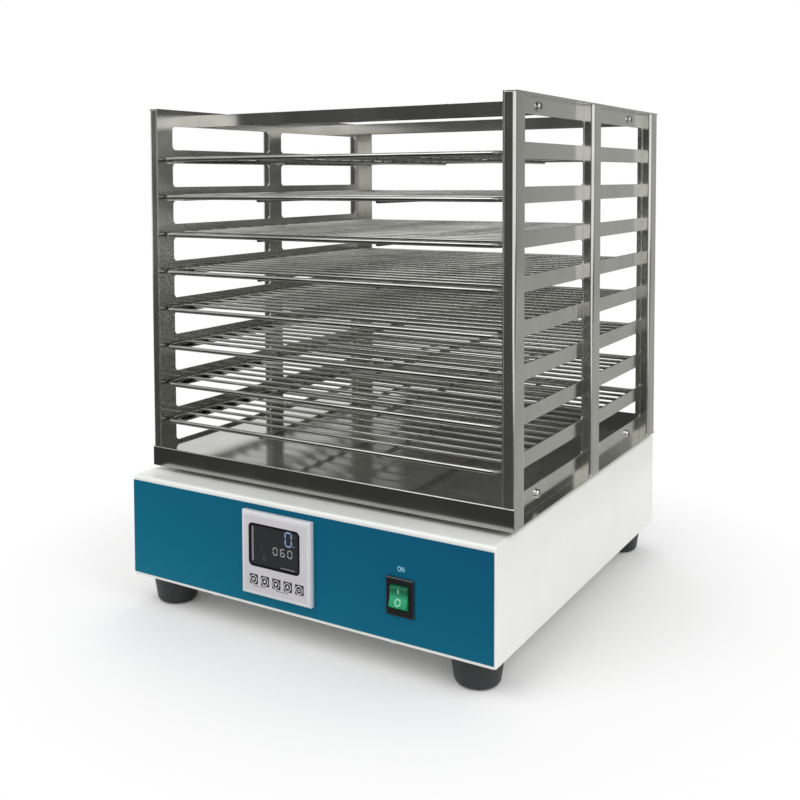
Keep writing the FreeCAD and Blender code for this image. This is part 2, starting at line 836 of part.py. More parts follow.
def make_key(label, centre):
    """Square meter key with a softened front."""
    key = new_body()
    front = bezel_front - S.key_proud
    pad(
        key,
        "Y",
        (front, front + S.key_depth),
        lambda s: draw_box(s, around(centre[0], S.key_side), around(centre[1], S.key_side)),
    )
    chamfer(
        key,
        S.key_edge,
        [("X", lambda p: close_to(p.y, front)), ("Z", lambda p: close_to(p.y, front))],
    )
    keep(key, label, BASE_PLACE)


for number, centre in enumerate(key_centres, start=1):
    make_key(f"meter_key_{number}", centre)

clip_front = casing_front + S.casing_wall
meter_clips = [
    block(
        (low, low + S.clip_thickness),
        (clip_front, clip_front + S.clip_length),
        around(meter_centre[1], S.clip_height),
    )
    for low in (
        meter_centre[0] - S.meter_body / 2 - S.clip_thickness,
        meter_centre[0] + S.meter_body / 2,
    )
]
keep(group(meter_clips), "meter_clips", BASE_PLACE)

switch_front = overlay_front - S.switch_proud
pivot_y = switch_front + S.rocker_pivot
switch_case = new_body()
pad(
    switch_case,
    "Y",
    (switch_front, overlay_front),
    lambda s: draw_box(
        s, around(switch_centre[0], S.switch_width), around(switch_centre[1], S.switch_height)
    ),
)
chamfer(
    switch_case,
    S.switch_edge,
    [
        ("X", lambda p: close_to(p.y, switch_front)),
        ("Z", lambda p: close_to(p.y, switch_front)),
    ],
)
pad(
    switch_case,
    "Y",
    (overlay_front, casing_front + S.switch_depth),
    lambda s: draw_box(
        s,
        around(switch_centre[0], S.switch_body_width),
        around(switch_centre[1], S.switch_body_height),
    ),
)
pocket(
    switch_case,
    "Y",
    (switch_front, pivot_y + S.rocker_radius + S.rocker_play),
    lambda s: draw_box(
        s,
        around(switch_centre[0], S.rocker_width + 2 * S.rocker_play),
        around(switch_centre[1], 2 * (S.rocker_radius + S.rocker_play)),
    ),
)
keep(switch_case, "switch_case", BASE_PLACE)

# The rocker is a round drum about its pivot, with a shallow V cut into its face
drum = rod("X", -S.rocker_width / 2, S.rocker_width / 2, (ZERO, ZERO), S.rocker_radius)
face_cuts = []
for turn in (-1, 1):
    tool = block(
        (-S.rocker_width, S.rocker_width),
        (-4 * S.rocker_radius, ZERO),
        (ZERO, 3 * S.rocker_radius),
    )
    half_turn = FreeCAD.Rotation(FreeCAD.Vector(0, 1, 0), 0 if turn > 0 else 180)
    lean = FreeCAD.Rotation(FreeCAD.Vector(1, 0, 0), turn * S.rocker_face_tilt.value)
    holder = doc.addObject("Part::Compound", "cutter")
    holder.Links = [tool]
    holder.Placement = FreeCAD.Placement(FreeCAD.Vector(), lean * half_turn)
    put(holder, (ZERO, -S.rocker_valley, ZERO))
    face_cuts.append(holder)
rocker = cut_out(drum, face_cuts)
rocker.Placement = FreeCAD.Placement(
    FreeCAD.Vector(), FreeCAD.Rotation(FreeCAD.Vector(1, 0, 0), -S.rocker_throw.value)
)
rocker_place = (
    BASE_PLACE[0] + switch_centre[0],
    BASE_PLACE[1] + pivot_y,
    switch_centre[1],
)
keep(rocker, "switch_rocker", rocker_place)

# Mains inlet in the back

inlet_back = half_depth + S.inlet_flange
socket_z = inlet_centre[1] - S.inlet_height / 2 + S.inlet_edge + S.socket_height / 2
fuse_z = inlet_centre[1] + S.inlet_height / 2 - S.inlet_edge - S.fuse_height / 2
inlet = new_body()
pad(
    inlet,
    "Y",
    (half_depth, inlet_back),
    lambda s: draw_cut_box(
        s,
        around(inlet_centre[0], S.inlet_width),
        around(inlet_centre[1], S.inlet_height),
        S.inlet_corner,
    ),
)
pad(
    inlet,
    "Y",
    (half_depth - S.inlet_depth, half_depth),
    lambda s: draw_box(
        s,
        around(inlet_centre[0], inlet_body_width),
        around(inlet_centre[1], inlet_body_height),
    ),
)
socket_low = socket_z - S.socket_height / 2
socket_high = socket_z + S.socket_height / 2
socket_left = inlet_centre[0] - S.socket_width / 2
socket_right = inlet_centre[0] + S.socket_width / 2
pocket_depth = inlet_back - S.socket_depth
pocket(
    inlet,
    "Y",
    (pocket_depth, inlet_back),
    lambda s: draw_outline(
        s,
        [
            (socket_left, socket_low),
            (socket_right, socket_low),
            (socket_right, socket_high - S.socket_corner),
            (socket_right - S.socket_corner, socket_high),
            (socket_left + S.socket_corner, socket_high),
            (socket_left, socket_high - S.socket_corner),
        ],
    ),
)
fuse_front = half_depth - S.fuse_depth
pocket(
    inlet,
    "Y",
    (fuse_front - S.fuse_play, inlet_back),
    lambda s: draw_box(
        s,
        around(inlet_centre[0], S.fuse_width + 2 * S.fuse_play),
        around(fuse_z, S.fuse_height + 2 * S.fuse_play),
    ),
)
keep(inlet, "inlet_socket", BASE_PLACE)

inlet_pins = [
    block(
        around(inlet_centre[0] + x, S.pin_width),
        (pocket_depth, inlet_back - S.pin_recess),
        around(socket_z + z, S.pin_height),
    )
    for x, z in (
        (-S.pin_spacing, -S.pin_offset),
        (S.pin_spacing, -S.pin_offset),
        (ZERO, S.pin_offset),
    )
]
keep(group(inlet_pins), "inlet_pins", BASE_PLACE)

drawer = join_up(
    [
        block(
            around(inlet_centre[0], S.fuse_width),
            (fuse_front, inlet_back),
            around(fuse_z, S.fuse_height),
        ),
        block(
            around(inlet_centre[0], S.grip_width),
            (inlet_back, inlet_back + S.fuse_grip),
            around(fuse_z, S.fuse_height - 2 * S.grip_inset),
        ),
    ]
)
keep(drawer, "fuse_drawer", BASE_PLACE)

# Guide rods and their supports

guide_half = S.guide_length / 2
guide_rows = dict(zip(("front", "rear"), post_rows))
for row_name, row_y in guide_rows.items():
    guide = new_body()
    pad(
        guide,
        "X",
        (-guide_half, guide_half),
        lambda s, y=row_y: draw_circle(s, (y, guide_z), S.guide_radius),
    )
    keep(guide, f"guide_rod_{row_name}", BASE_PLACE)

supports = []
for row_y in post_rows:
    for sign in (-1, 1):
        middle = sign * (guide_half - S.support_width / 2)
        side = S.guide_radius + S.support_wall
        foot_half = S.support_depth / 2
        support = new_body()

        def draw_support(sketch, y=row_y):
            shoulder = casing_bottom + S.support_foot
            draw_outline(
                sketch,
                [
                    (y - foot_half, casing_bottom),
                    (y + foot_half, casing_bottom),
                    (y + foot_half, shoulder),
                    (y + side, shoulder),
                    (y + side, guide_z + side),
                    (y - side, guide_z + side),
                    (y - side, shoulder),
                    (y - foot_half, shoulder),
                ],
            )

        pad(support, "X", around(middle, S.support_width), draw_support)
        pocket(
            support,
            "X",
            around(middle, S.support_width),
            lambda s, y=row_y: draw_flats(s, (y, guide_z), S.guide_radius, 16),
        )
        supports.append(support)
keep(group(supports), "rod_supports", BASE_PLACE)

# Gear motor, its bracket and the crank

gearbox_top = bracket_face - S.bracket_sheet
gearbox_low = gearbox_top - S.gearbox_height
gearbox_half = S.gearbox_side / 2
gearbox = block(
    (-gearbox_half, gearbox_half),
    (crank_y - gearbox_half, crank_y + gearbox_half),
    (gearbox_low, gearbox_top),
)
pilot_top = bracket_face - S.pilot_recess
pilot = bar("Z", gearbox_top, pilot_top, (ZERO, crank_y), S.pilot_radius, 16)
can_low = gearbox_low - S.motor_height
can = bar("Z", can_low, gearbox_low, (ZERO, crank_y), S.motor_radius, 32)
shaft_seat = gearbox_low + S.gearbox_height / 2
bore = rod(
    "Z", shaft_seat, bracket_face, (ZERO, crank_y), S.shaft_radius + S.guide_play
)
keep(cut_out(join_up([gearbox, pilot, can]), [bore]), "gear_motor", BASE_PLACE)

bracket_half = S.bracket_width / 2
bracket = new_body()


def draw_hat(sketch):
    outside = bracket_half + S.bracket_sheet
    foot_end = outside + S.bracket_foot
    foot_top = casing_bottom + S.bracket_sheet
    draw_outline(
        sketch,
        [
            (-foot_end, casing_bottom),
            (-bracket_half, casing_bottom),
            (-bracket_half, gearbox_top),
            (bracket_half, gearbox_top),
            (bracket_half, casing_bottom),
            (foot_end, casing_bottom),
            (foot_end, foot_top),
            (outside, foot_top),
            (outside, bracket_face),
            (-outside, bracket_face),
            (-outside, foot_top),
            (-foot_end, foot_top),
        ],
    )


screw_reach = gearbox_half - S.motor_screw_inset
motor_screw_spots = [
    (x * screw_reach, crank_y + y * screw_reach)
    for x in (-1, 1)
    for y in (-1, 1)
]


def draw_bracket_holes(sketch):
    draw_flats(sketch, (ZERO, crank_y), S.pilot_radius, 16)
    for spot in motor_screw_spots:
        draw_flats(sketch, spot, S.motor_screw_radius)


pad(bracket, "Y", around(crank_y, S.bracket_depth), draw_hat)
pocket(bracket, "Z", (gearbox_top, bracket_face), draw_bracket_holes)
keep(bracket, "motor_bracket", BASE_PLACE)

motor_screws = []
for spot in motor_screw_spots:
    r = S.motor_screw_radius
    head = bar("Z", bracket_face, bracket_face + r, spot, S.motor_head_radius, 8)
    shank = bar("Z", gearbox_top, bracket_face, spot, r, 8)
    motor_screws.append(join_up([head, shank]))
keep(group(motor_screws), "motor_screws", BASE_PLACE)

CRANK_PLACE = (BASE_PLACE[0], BASE_PLACE[1] + crank_y, ZERO)
# the pin stands where the crank has pushed the carriage to its place at rest
pin_x = S.carriage_rest
pin_reach = math.sqrt(crank_throw.value**2 - S.carriage_rest.value**2)
pin_y = -Size(
    f"sqrt({crank_throw.text} ^ 2 - {S.carriage_rest.text} ^ 2)", pin_reach
)
hub_low = bracket_face + S.crank_lift
disc_low = hub_low + S.crank_hub_height
disc_high = disc_low + S.crank_thickness
yoke_low = tray_underside - S.yoke_depth
pin_axis = (pin_x, pin_y)
pin_top = yoke_low - S.yoke_gap
roller_top = pin_top - S.pin_head_height
roller_low = roller_top - S.roller_height

shaft = new_body()
pad(
    shaft,
    "Z",
    (shaft_seat + S.shaft_end_play, disc_high),
    lambda s: draw_circle(s, (ZERO, ZERO), S.shaft_radius),
)
keep(shaft, "motor_shaft", CRANK_PLACE)

disc = new_body()
pad(
    disc,
    "Z",
    (disc_low, disc_high),
    lambda s: draw_flats(s, (ZERO, ZERO), S.crank_radius, 32),
)
pad(
    disc,
    "Z",
    (hub_low, disc_low),
    lambda s: draw_flats(s, (ZERO, ZERO), S.crank_hub_radius, 16),
)
pocket(
    disc,
    "Z",
    (hub_low, disc_high),
    lambda s: draw_circle(s, (ZERO, ZERO), S.shaft_radius),
)
pocket(
    disc,
    "Z",
    (disc_low, disc_high),
    lambda s: draw_flats(s, pin_axis, S.pin_seat_radius),
)
keep(disc, "crank_disc", CRANK_PLACE)

collar_top = roller_low - S.roller_play
crank_pin = join_up(
    [
        bar("Z", disc_low, disc_high, pin_axis, S.pin_seat_radius, 8),
        bar("Z", disc_high, collar_top, pin_axis, S.pin_radius + S.pin_collar, 6),
        rod("Z", disc_high, roller_top, pin_axis, S.pin_radius),
        bar("Z", roller_top, pin_top, pin_axis, S.pin_head_radius, 16),
    ]
)
keep(crank_pin, "crank_pin", CRANK_PLACE)

roller = cut_out(
    bar("Z", roller_low, roller_top - S.roller_play, pin_axis, S.roller_radius, 32),
    [rod("Z", roller_low, roller_top, pin_axis, S.pin_radius + S.guide_play)],
)
keep(roller, "crank_roller", CRANK_PLACE)

# Power supply and speed control board on the bottom plate

supply_x = -S.supply_length - S.supply_aside
supply_y = S.electrics_back
lifted = casing_bottom + S.spacer_height
supply = new_body()
pad(
    supply,
    "Z",
    (lifted, lifted + S.supply_height),
    lambda s: draw_box(
        s,
        (supply_x, supply_x + S.supply_length),
        (supply_y, supply_y + S.supply_depth),
    ),
)
keep(supply, "power_supply", BASE_PLACE)

board_x = S.board_aside
board_y = S.electrics_back
board_top = lifted + S.board_thickness
# what stands on the board: place from its front left corner, size across or radius, and height
BOARD_BLOCKS = {"transformer": (8, 8, 30, 22, 18), "heat_sink": (46, 8, 30, 10, 25)}
BOARD_CANS = {"large_capacitor": (20, 48, 9, 22), "small_capacitor": (44, 50, 6, 16)}
board_pieces = [
    block(
        (board_x, board_x + S.board_length),
        (board_y, board_y + S.board_depth),
        (lifted, board_top),
    )
]
for x, y, length, depth, height in BOARD_BLOCKS.values():
    left, front = board_x + x, board_y + y
    spans = ((left, left + length), (front, front + depth), (board_top, board_top + height))
    board_pieces.append(block(*spans))
for x, y, radius, height in BOARD_CANS.values():
    spot = (board_x + x, board_y + y)
    board_pieces.append(bar("Z", board_top, board_top + height, spot, radius, 12))
board = join_up(board_pieces)
keep(board, "speed_board", BASE_PLACE)

spacer_spots = [
    (x, y)
    for low_x, low_y, length, depth in (
        (supply_x, supply_y, S.supply_length, S.supply_depth),
        (board_x, board_y, S.board_length, S.board_depth),
    )
    for x in (low_x + S.spacer_inset, low_x + length - S.spacer_inset)
    for y in (low_y + S.spacer_inset, low_y + depth - S.spacer_inset)
]
spacers = [
    bar("Z", casing_bottom, lifted, spot, S.spacer_foot_radius, 6) for spot in spacer_spots
]
keep(group(spacers), "board_spacers", BASE_PLACE)

# Carriage: tray, side sheets, posts and top bars

bolt_rows = [sign * S.bar_spacing / 2 for sign in (-1, 1)]
bolt_levels = (S.low_bolt_rise, S.carriage_height - S.top_bolt_drop)

tray = new_body()
floor_low = S.tray_height - S.sheet
front_face = -carriage_y
pad(
    tray,
    "Z",
    (ZERO, S.tray_height),
    lambda s: draw_box(s, (-sheet_inside, sheet_inside), (-carriage_y, carriage_y)),
)
pad(
    tray,
    "Y",
    (front_face, front_face + S.sheet),
    lambda s: draw_box(s, (-carriage_x, carriage_x), (ZERO, S.tray_height)),
)
pocket(
    tray,
    "Z",
    (S.sheet, floor_low),
    lambda s: draw_box(
        s,
        (S.sheet - sheet_inside, sheet_inside - S.sheet),
        (S.sheet - carriage_y, carriage_y - S.sheet),
    ),
)
pocket(
    tray,
    "Z",
    (ZERO, S.sheet),
    lambda s: draw_box(
        s,
        (S.sheet - sheet_inside, sheet_inside - S.sheet),
        (S.tray_return - carriage_y, carriage_y - S.tray_return),
    ),
)
fillet(
    tray,
    S.tray_edge,
    [("X", lambda p: close_to(p.z, S.tray_height) and close_to(p.y, front_face))],
)
pocket(
    tray,
    "X",
    (-sheet_inside, sheet_inside),
    lambda s: [draw_flats(s, (y, bolt_levels[0]), S.frame_bolt_radius) for y in bolt_rows],
)
keep(tray, "carriage_tray", CARRIAGE_PLACE)

window_low = S.lowest_rail + S.rail_height
window_high = S.lowest_rail + S.level_pitch
post_mid = S.post_width / 2
window_spans = [(S.post_width - carriage_y, -post_mid), (post_mid, carriage_y - S.post_width)]


def make_side(label, side):
    """Punched and folded side sheet: two columns of windows, a ledge folded in at each rail."""

    def spread(low, high):
        return (low, high) if side > 0 else (-high, -low)

    body = new_body()
    pad(
        body,
        "X",
        spread(sheet_inside, sheet_outside),
        lambda s: draw_box(s, (-carriage_y, carriage_y), (ZERO, S.carriage_height)),
    )
    # the tray's front plate runs across in front of the sheet
    pocket(
        body,
        "X",
        spread(sheet_inside, sheet_outside),
        lambda s: draw_box(s, (-carriage_y, S.sheet - carriage_y), (ZERO, S.tray_height)),
    )
    # outward flanges close the posts at the top and the bottom
    for low in (ZERO, S.carriage_height - S.sheet):
        pad(
            body,
            "Z",
            (low, low + S.sheet),
            lambda s: draw_box(
                s, spread(sheet_outside, carriage_x), (S.sheet - carriage_y, carriage_y)
            ),
        )
    pad(
        body,
        "Y",
        (carriage_y - S.sheet, carriage_y),
        lambda s: draw_box(
            s,
            spread(sheet_inside - S.back_stop, sheet_inside),
            (S.tray_height, S.carriage_height),
        ),
    )
    for window_span in window_spans:
        cut = pocket(
            body,
            "X",
            spread(sheet_inside, sheet_outside),
            lambda s, w=window_span: draw_cut_box(
                s, w, (window_low, window_high), S.window_corner
            ),
        )
        repeat(body, cut, "V_Axis", S.level_pitch, S.level_count)
    pocket(
        body,
        "X",
        spread(sheet_inside, sheet_outside),
        lambda s: [
            draw_cut_box(s, w, (S.lowest_window, S.lowest_rail), S.window_corner)
            for w in window_spans
        ],
    )
    ledge = pad(
        body,
        "Z",
        (S.lowest_rail, S.lowest_rail + S.sheet),
        lambda s: [
            draw_box(
                s,
                spread(sheet_inside - S.ledge_width, sheet_inside),
                (w[0] + S.window_corner, w[1] - S.window_corner),
            )
            for w in window_spans
        ],
    )
    repeat(body, ledge, "N_Axis", S.level_pitch, S.level_count)
    pocket(
        body,
        "X",
        spread(sheet_inside, sheet_outside),
        lambda s: [
            draw_flats(s, (y, z), S.frame_bolt_radius) for y in bolt_rows for z in bolt_levels
        ],
    )
    keep(body, label, CARRIAGE_PLACE)


make_side("side_sheet_left", -1)
make_side("side_sheet_right", 1)


def make_post(label, side, low_y, is_front):
    """Folded channel outside the side sheet, open towards it."""
    body = new_body()
    high_y = low_y + S.post_width
    span = (sheet_outside, carriage_x) if side > 0 else (-carriage_x, -sheet_outside)
    outer = carriage_x if side > 0 else -carriage_x
    pad(
        body,
        "Z",
        (S.sheet, S.carriage_height - S.sheet),
        lambda s: draw_box(s, span, (low_y, high_y)),
    )
    fillet(body, S.post_bend, [("Z", lambda p: close_to(p.x, outer))])
    hollow = (
        (sheet_outside, carriage_x - S.sheet)
        if side > 0
        else (S.sheet - carriage_x, -sheet_outside)
    )
    pocket(
        body,
        "Z",
        (S.sheet, S.carriage_height - S.sheet),
        lambda s: draw_box(s, hollow, (low_y + S.sheet, high_y - S.sheet)),
    )
    if is_front:
        # the tray's front plate runs across in place of the front leg
        pocket(
            body,
            "Z",
            (S.sheet, S.tray_height),
            lambda s: draw_box(s, span, (low_y, low_y + S.sheet)),
        )
    keep(body, label, CARRIAGE_PLACE)


post_lows = {
    "front": -carriage_y,
    "middle": -post_mid,
    "rear": carriage_y - S.post_width,
}
for side_name, side in (("left", -1), ("right", 1)):
    for place_name, low_y in post_lows.items():
        make_post(f"post_{place_name}_{side_name}", side, low_y, place_name == "front")

bar_high = S.carriage_height - S.bar_drop
bar_low = bar_high - S.bar_height
for place_name, middle in zip(("front", "rear"), bolt_rows):
    channel = new_body()
    y_span = around(middle, S.bar_depth)
    wall = S.sheet

    def draw_channel(sketch, y=y_span):
        draw_outline(
            sketch,
            [
                (y[0], bar_low),
                (y[0] + wall, bar_low),
                (y[0] + wall, bar_high - wall),
                (y[1] - wall, bar_high - wall),
                (y[1] - wall, bar_low),
                (y[1], bar_low),
                (y[1], bar_high),
                (y[0], bar_high),
            ],
        )

    pad(channel, "X", (-sheet_inside, sheet_inside), draw_channel)
    for sign in (-1, 1):
        ends = [sign * sheet_inside, sign * (sheet_inside - wall)][::-sign]
        pad(
            channel,
            "X",
            ends,
            lambda s, y=y_span: draw_box(s, y, (bar_low, bar_high)),
        )
    pocket(
        channel,
        "X",
        (-sheet_inside, sheet_inside),
        lambda s, y=middle: draw_flats(s, (y, bolt_levels[1]), S.frame_bolt_radius),
    )
    keep(channel, f"top_bar_{place_name}", CARRIAGE_PLACE)

frame_bolts = []
for side in (-1, 1):
    for y in bolt_rows:
        for z in bolt_levels:
            inside = sheet_inside - S.sheet
            ends = (
                inside - S.bolt_nut_height,
                inside,
                sheet_outside,
                sheet_outside + S.bolt_head_height,
            )
            if side < 0:
                ends = tuple(-end for end in reversed(ends))
                nut_span, head_span = (ends[2], ends[3]), (ends[0], ends[1])
            else:
                nut_span, head_span = (ends[0], ends[1]), (ends[2], ends[3])
            pieces = [
                bar("X", *nut_span, (y, z), S.bolt_nut_radius, 6),
                bar("X", ends[1], ends[2], (y, z), S.frame_bolt_radius, 8),
                bar("X", *head_span, (y, z), S.bolt_head_radius, 8),
            ]
            frame_bolts.append(join_up(pieces))
keep(group(frame_bolts), "frame_bolts", CARRIAGE_PLACE)

# Under the tray: bearing blocks, spacers and the open yoke

block_z = guide_z - carriage_bottom
bearing_blocks = []
spacer_posts = []
for x in post_columns:
    for sign in (-1, 1):
        y = sign * S.guide_spacing / 2
        housing = block(
            around(x, S.block_length), around(y, S.block_width), around(block_z, S.block_height)
        )
        bearing_bore = bar(
            "X", *around(x, S.block_length), (y, block_z), S.guide_radius + S.guide_play, 16
        )
        bearing_blocks.append(cut_out(housing, [bearing_bore]))
        spacer_posts.append(
            bar("Z", block_z + S.block_height / 2, floor_low, (x, y), S.spacer_radius, 6)
        )
keep(group(bearing_blocks), "bearing_blocks", CARRIAGE_PLACE)
keep(group(spacer_posts), "spacer_posts", CARRIAGE_PLACE)

yoke = new_body()
yoke_inside = S.roller_radius + S.yoke_play
yoke_outside = yoke_inside + S.yoke_wall
yoke_bottom = yoke_low - carriage_bottom


def draw_yoke(sketch):
    draw_outline(
        sketch,
        [
            (-yoke_outside, yoke_bottom),
            (-yoke_inside, yoke_bottom),
            (-yoke_inside, floor_low - S.yoke_top),
            (yoke_inside, floor_low - S.yoke_top),
            (yoke_inside, yoke_bottom),
            (yoke_outside, yoke_bottom),
            (yoke_outside, floor_low),
            (-yoke_outside, floor_low),
        ],
    )


pad(yoke, "Y", around(ZERO, S.yoke_length), draw_yoke)
keep(yoke, "drive_yoke", CARRIAGE_PLACE)

# Wire shelves

shelf_x = sheet_inside - S.shelf_play - S.frame_rod_radius
shelf_y = carriage_y - S.shelf_inset - S.frame_rod_radius
shelf_rise = S.sheet + S.seat_gap + S.frame_rod_radius


def make_frame_rods():
    """The bent outer rod of a shelf, in eight runs that meet at their mitres."""
    corner = S.shelf_corner
    spots = [
        (corner - shelf_x, -shelf_y),
        (shelf_x - corner, -shelf_y),
        (shelf_x, corner - shelf_y),
        (shelf_x, shelf_y - corner),
        (shelf_x - corner, shelf_y),
        (corner - shelf_x, shelf_y),
        (-shelf_x, shelf_y - corner),
        (-shelf_x, corner - shelf_y),
    ]
    path = doc.addObject("Sketcher::SketchObject", "shelf_path")
    draw_outline(path, spots)
    section = doc.addObject("Part::RegularPolygon", "rod_section")
    section.Polygon = 6
    bind(section, "Circumradius", S.frame_rod_radius / round(math.cos(math.pi / 6), 4))
    section.Placement = FreeCAD.Placement(FreeCAD.Vector(), ALONG["X"])
    put(section, (*spots[0], ZERO))
    frame = doc.addObject("Part::Sweep", "shelf_frame")
    frame.Sections = [section]
    frame.Spine = (path, [f"Edge{i}" for i in range(1, 9)])
    frame.Solid = True
    frame.Frenet = False
    frame.Transition = "Right corner"
    # each run is what the frame shares with a wedge between the mitres at its two ends
    reach = 2 * S.frame_rod_radius
    mitres = []
    for i, (x, y) in enumerate(spots):
        turn = math.radians(45 * i - 112.5)
        aside, along = reach * round(math.cos(turn), 4), reach * round(math.sin(turn), 4)
        mitres.append(((x - aside, y - along), (x + aside, y + along)))
    runs = []
    for start, end in zip(mitres, mitres[1:] + mitres[:1]):
        wedge = new_body()
        corners = [start[0], start[1], end[1], end[0]]
        pad(wedge, "Z", (-reach, reach), lambda s, c=corners: draw_outline(s, c))
        run = doc.addObject("Part::Common", "frame_run")
        run.Base = frame
        run.Tool = wedge
        run.Refine = True
        runs.append(run)
    return runs


def make_shelf_rods():
    """All rods of a welded wire shelf, about the middle of its outer rod."""
    rods = make_frame_rods()
    stay_z = S.cross_rise - S.cross_rod_radius - S.stay_rod_radius
    stay_end = shelf_y - S.frame_rod_radius
    cross_end = shelf_x - S.frame_rod_radius
    for sign in (-1, 1):
        x = sign * S.stay_spacing / 2
        rods.append(bar("Y", -stay_end, stay_end, (x, stay_z), S.stay_rod_radius, 6))
    for i in range(int(S.cross_count.value)):
        y = S.cross_first - shelf_y + S.cross_pitch * i
        centre = (y, S.cross_rise)
        rods.append(bar("X", -cross_end, cross_end, centre, S.cross_rod_radius, 4))
    return rods


shelf_rods = make_shelf_rods()
level_count = int(S.level_count.value)
for number in range(1, level_count + 1):
    above_tray = S.lowest_rail + shelf_rise + S.level_pitch * (level_count - number)
    x, y, z = CARRIAGE_PLACE
    keep(group(shelf_rods), f"shelf_{number}", (x, y, z + above_tray))

# Every feature is looked at before a file is written

doc.recompute()
faults = [
    f"{thing.Name} ({thing.Label}): {state}"
    for thing in doc.Objects
    for state in thing.State
    if state in ("Invalid", "Error")
]
for node in nodes:
    if node.Shape.isNull() or not node.Shape.isValid():
        faults.append(f"{node.Label}: shape is null or not valid")
    elif not node.Shape.Solids:
        faults.append(f"{node.Label}: no solid")
if faults:
    raise RuntimeError("the model has faults:\n" + "\n".join(faults))

os.makedirs("parts", exist_ok=True)
for node in nodes:
    node.Shape.exportStep(os.path.join("parts", f"{node.Label}.step"))
    print(f"{node.Label}: {len(node.Shape.Solids)} solids, {node.Shape.Volume:.0f} mm3")
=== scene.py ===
import itertools
import math

import bpy
from mathutils import Matrix, Vector


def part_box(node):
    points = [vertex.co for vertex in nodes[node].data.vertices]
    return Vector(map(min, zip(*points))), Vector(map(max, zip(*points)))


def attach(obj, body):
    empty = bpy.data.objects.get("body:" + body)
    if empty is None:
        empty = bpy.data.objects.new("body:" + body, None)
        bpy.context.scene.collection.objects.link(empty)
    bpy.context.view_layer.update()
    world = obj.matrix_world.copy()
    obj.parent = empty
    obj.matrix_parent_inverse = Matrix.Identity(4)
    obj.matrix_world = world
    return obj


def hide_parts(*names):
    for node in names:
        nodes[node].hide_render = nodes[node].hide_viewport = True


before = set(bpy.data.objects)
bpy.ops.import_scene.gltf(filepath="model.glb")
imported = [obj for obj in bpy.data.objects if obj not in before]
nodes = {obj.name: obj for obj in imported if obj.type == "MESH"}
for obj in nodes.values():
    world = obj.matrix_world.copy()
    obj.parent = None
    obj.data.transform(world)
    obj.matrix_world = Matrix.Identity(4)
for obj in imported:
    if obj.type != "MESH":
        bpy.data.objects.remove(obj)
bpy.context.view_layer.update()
bpy.ops.object.select_all(action="DESELECT")

# ---------------------------------------------------------------------------
# Camera: where the photographer stood, a little to the right of the front
# and just below the top shelf, with the lens shifted to frame the shaker.

camera_lens = bpy.data.cameras.new("photo_camera")
camera_lens.sensor_width = 36
camera_lens.lens = 46.765
camera_lens.shift_x = 0.0625
camera_lens.shift_y = -0.208
camera_place = (0.498475, -0.898614, 0.394769)
camera_turn, camera_tip, camera_roll = (math.radians(a) for a in (32.434, 86.99, -0.304))
camera = bpy.data.objects.new("photo_camera", camera_lens)
bpy.context.scene.collection.objects.link(camera)
camera.matrix_world = (
    Matrix.Translation(camera_place)
    @ Matrix.Rotation(camera_turn, 4, "Z")
    @ Matrix.Rotation(camera_tip, 4, "X")
    @ Matrix.Rotation(camera_roll, 4, "Z")
)
bpy.context.scene.camera = camera
bpy.context.scene.view_settings.view_transform = "Standard"

# ---------------------------------------------------------------------------
# Studio: a white surround and soft lamps high above the bench, all round, so
# that the upright mirror faces never show a lamp.

world = bpy.data.worlds.new("white_studio")
bpy.context.scene.world = world
world.use_nodes = True
background = world.node_tree.nodes["Background"]
background.inputs["Color"].default_value = (1, 1, 1, 1)
seen_by = world.node_tree.nodes.new("ShaderNodeLightPath")
seen = world.node_tree.nodes.new("ShaderNodeMath")
seen.operation = "MAXIMUM"
seen_all = world.node_tree.nodes.new("ShaderNodeMath")
seen_all.operation = "MAXIMUM"
level = world.node_tree.nodes.new("ShaderNodeMapRange")
level.inputs["To Min"].default_value = 0.62
level.inputs["To Max"].default_value = 1.0
link = world.node_tree.links.new
link(seen_by.outputs["Is Camera Ray"], seen.inputs[0])
link(seen_by.outputs["Is Glossy Ray"], seen.inputs[1])
link(seen.outputs[0], seen_all.inputs[0])
link(seen_by.outputs["Is Transmission Ray"], seen_all.inputs[1])
link(seen_all.outputs[0], level.inputs["Value"])
link(level.outputs["Result"], background.inputs["Strength"])

# Each lamp's place and its power in watts
STUDIO_LAMPS = {
    "front_lamp": ((-0.6, -1.7, 2.0), 20),
    "right_lamp": ((1.9, -0.2, 1.9), 20),
    "rear_lamp": ((-0.7, 1.6, 2.2), 10),
}
lamp_side = 1.6
lamp_target = Vector((0, 0, 0.2))
for name, (place, power) in STUDIO_LAMPS.items():
    aim = (lamp_target - Vector(place)).to_track_quat("-Z", "Y").to_euler()
    bpy.ops.object.light_add(type="AREA", location=place, rotation=aim)
    lamp = bpy.context.active_object
    lamp.name = name
    lamp.data.size = lamp_side
    lamp.data.energy = power

# ---------------------------------------------------------------------------
# Bench: a pale plain top that keeps a soft shadow under the feet and runs
# out into the white surround.

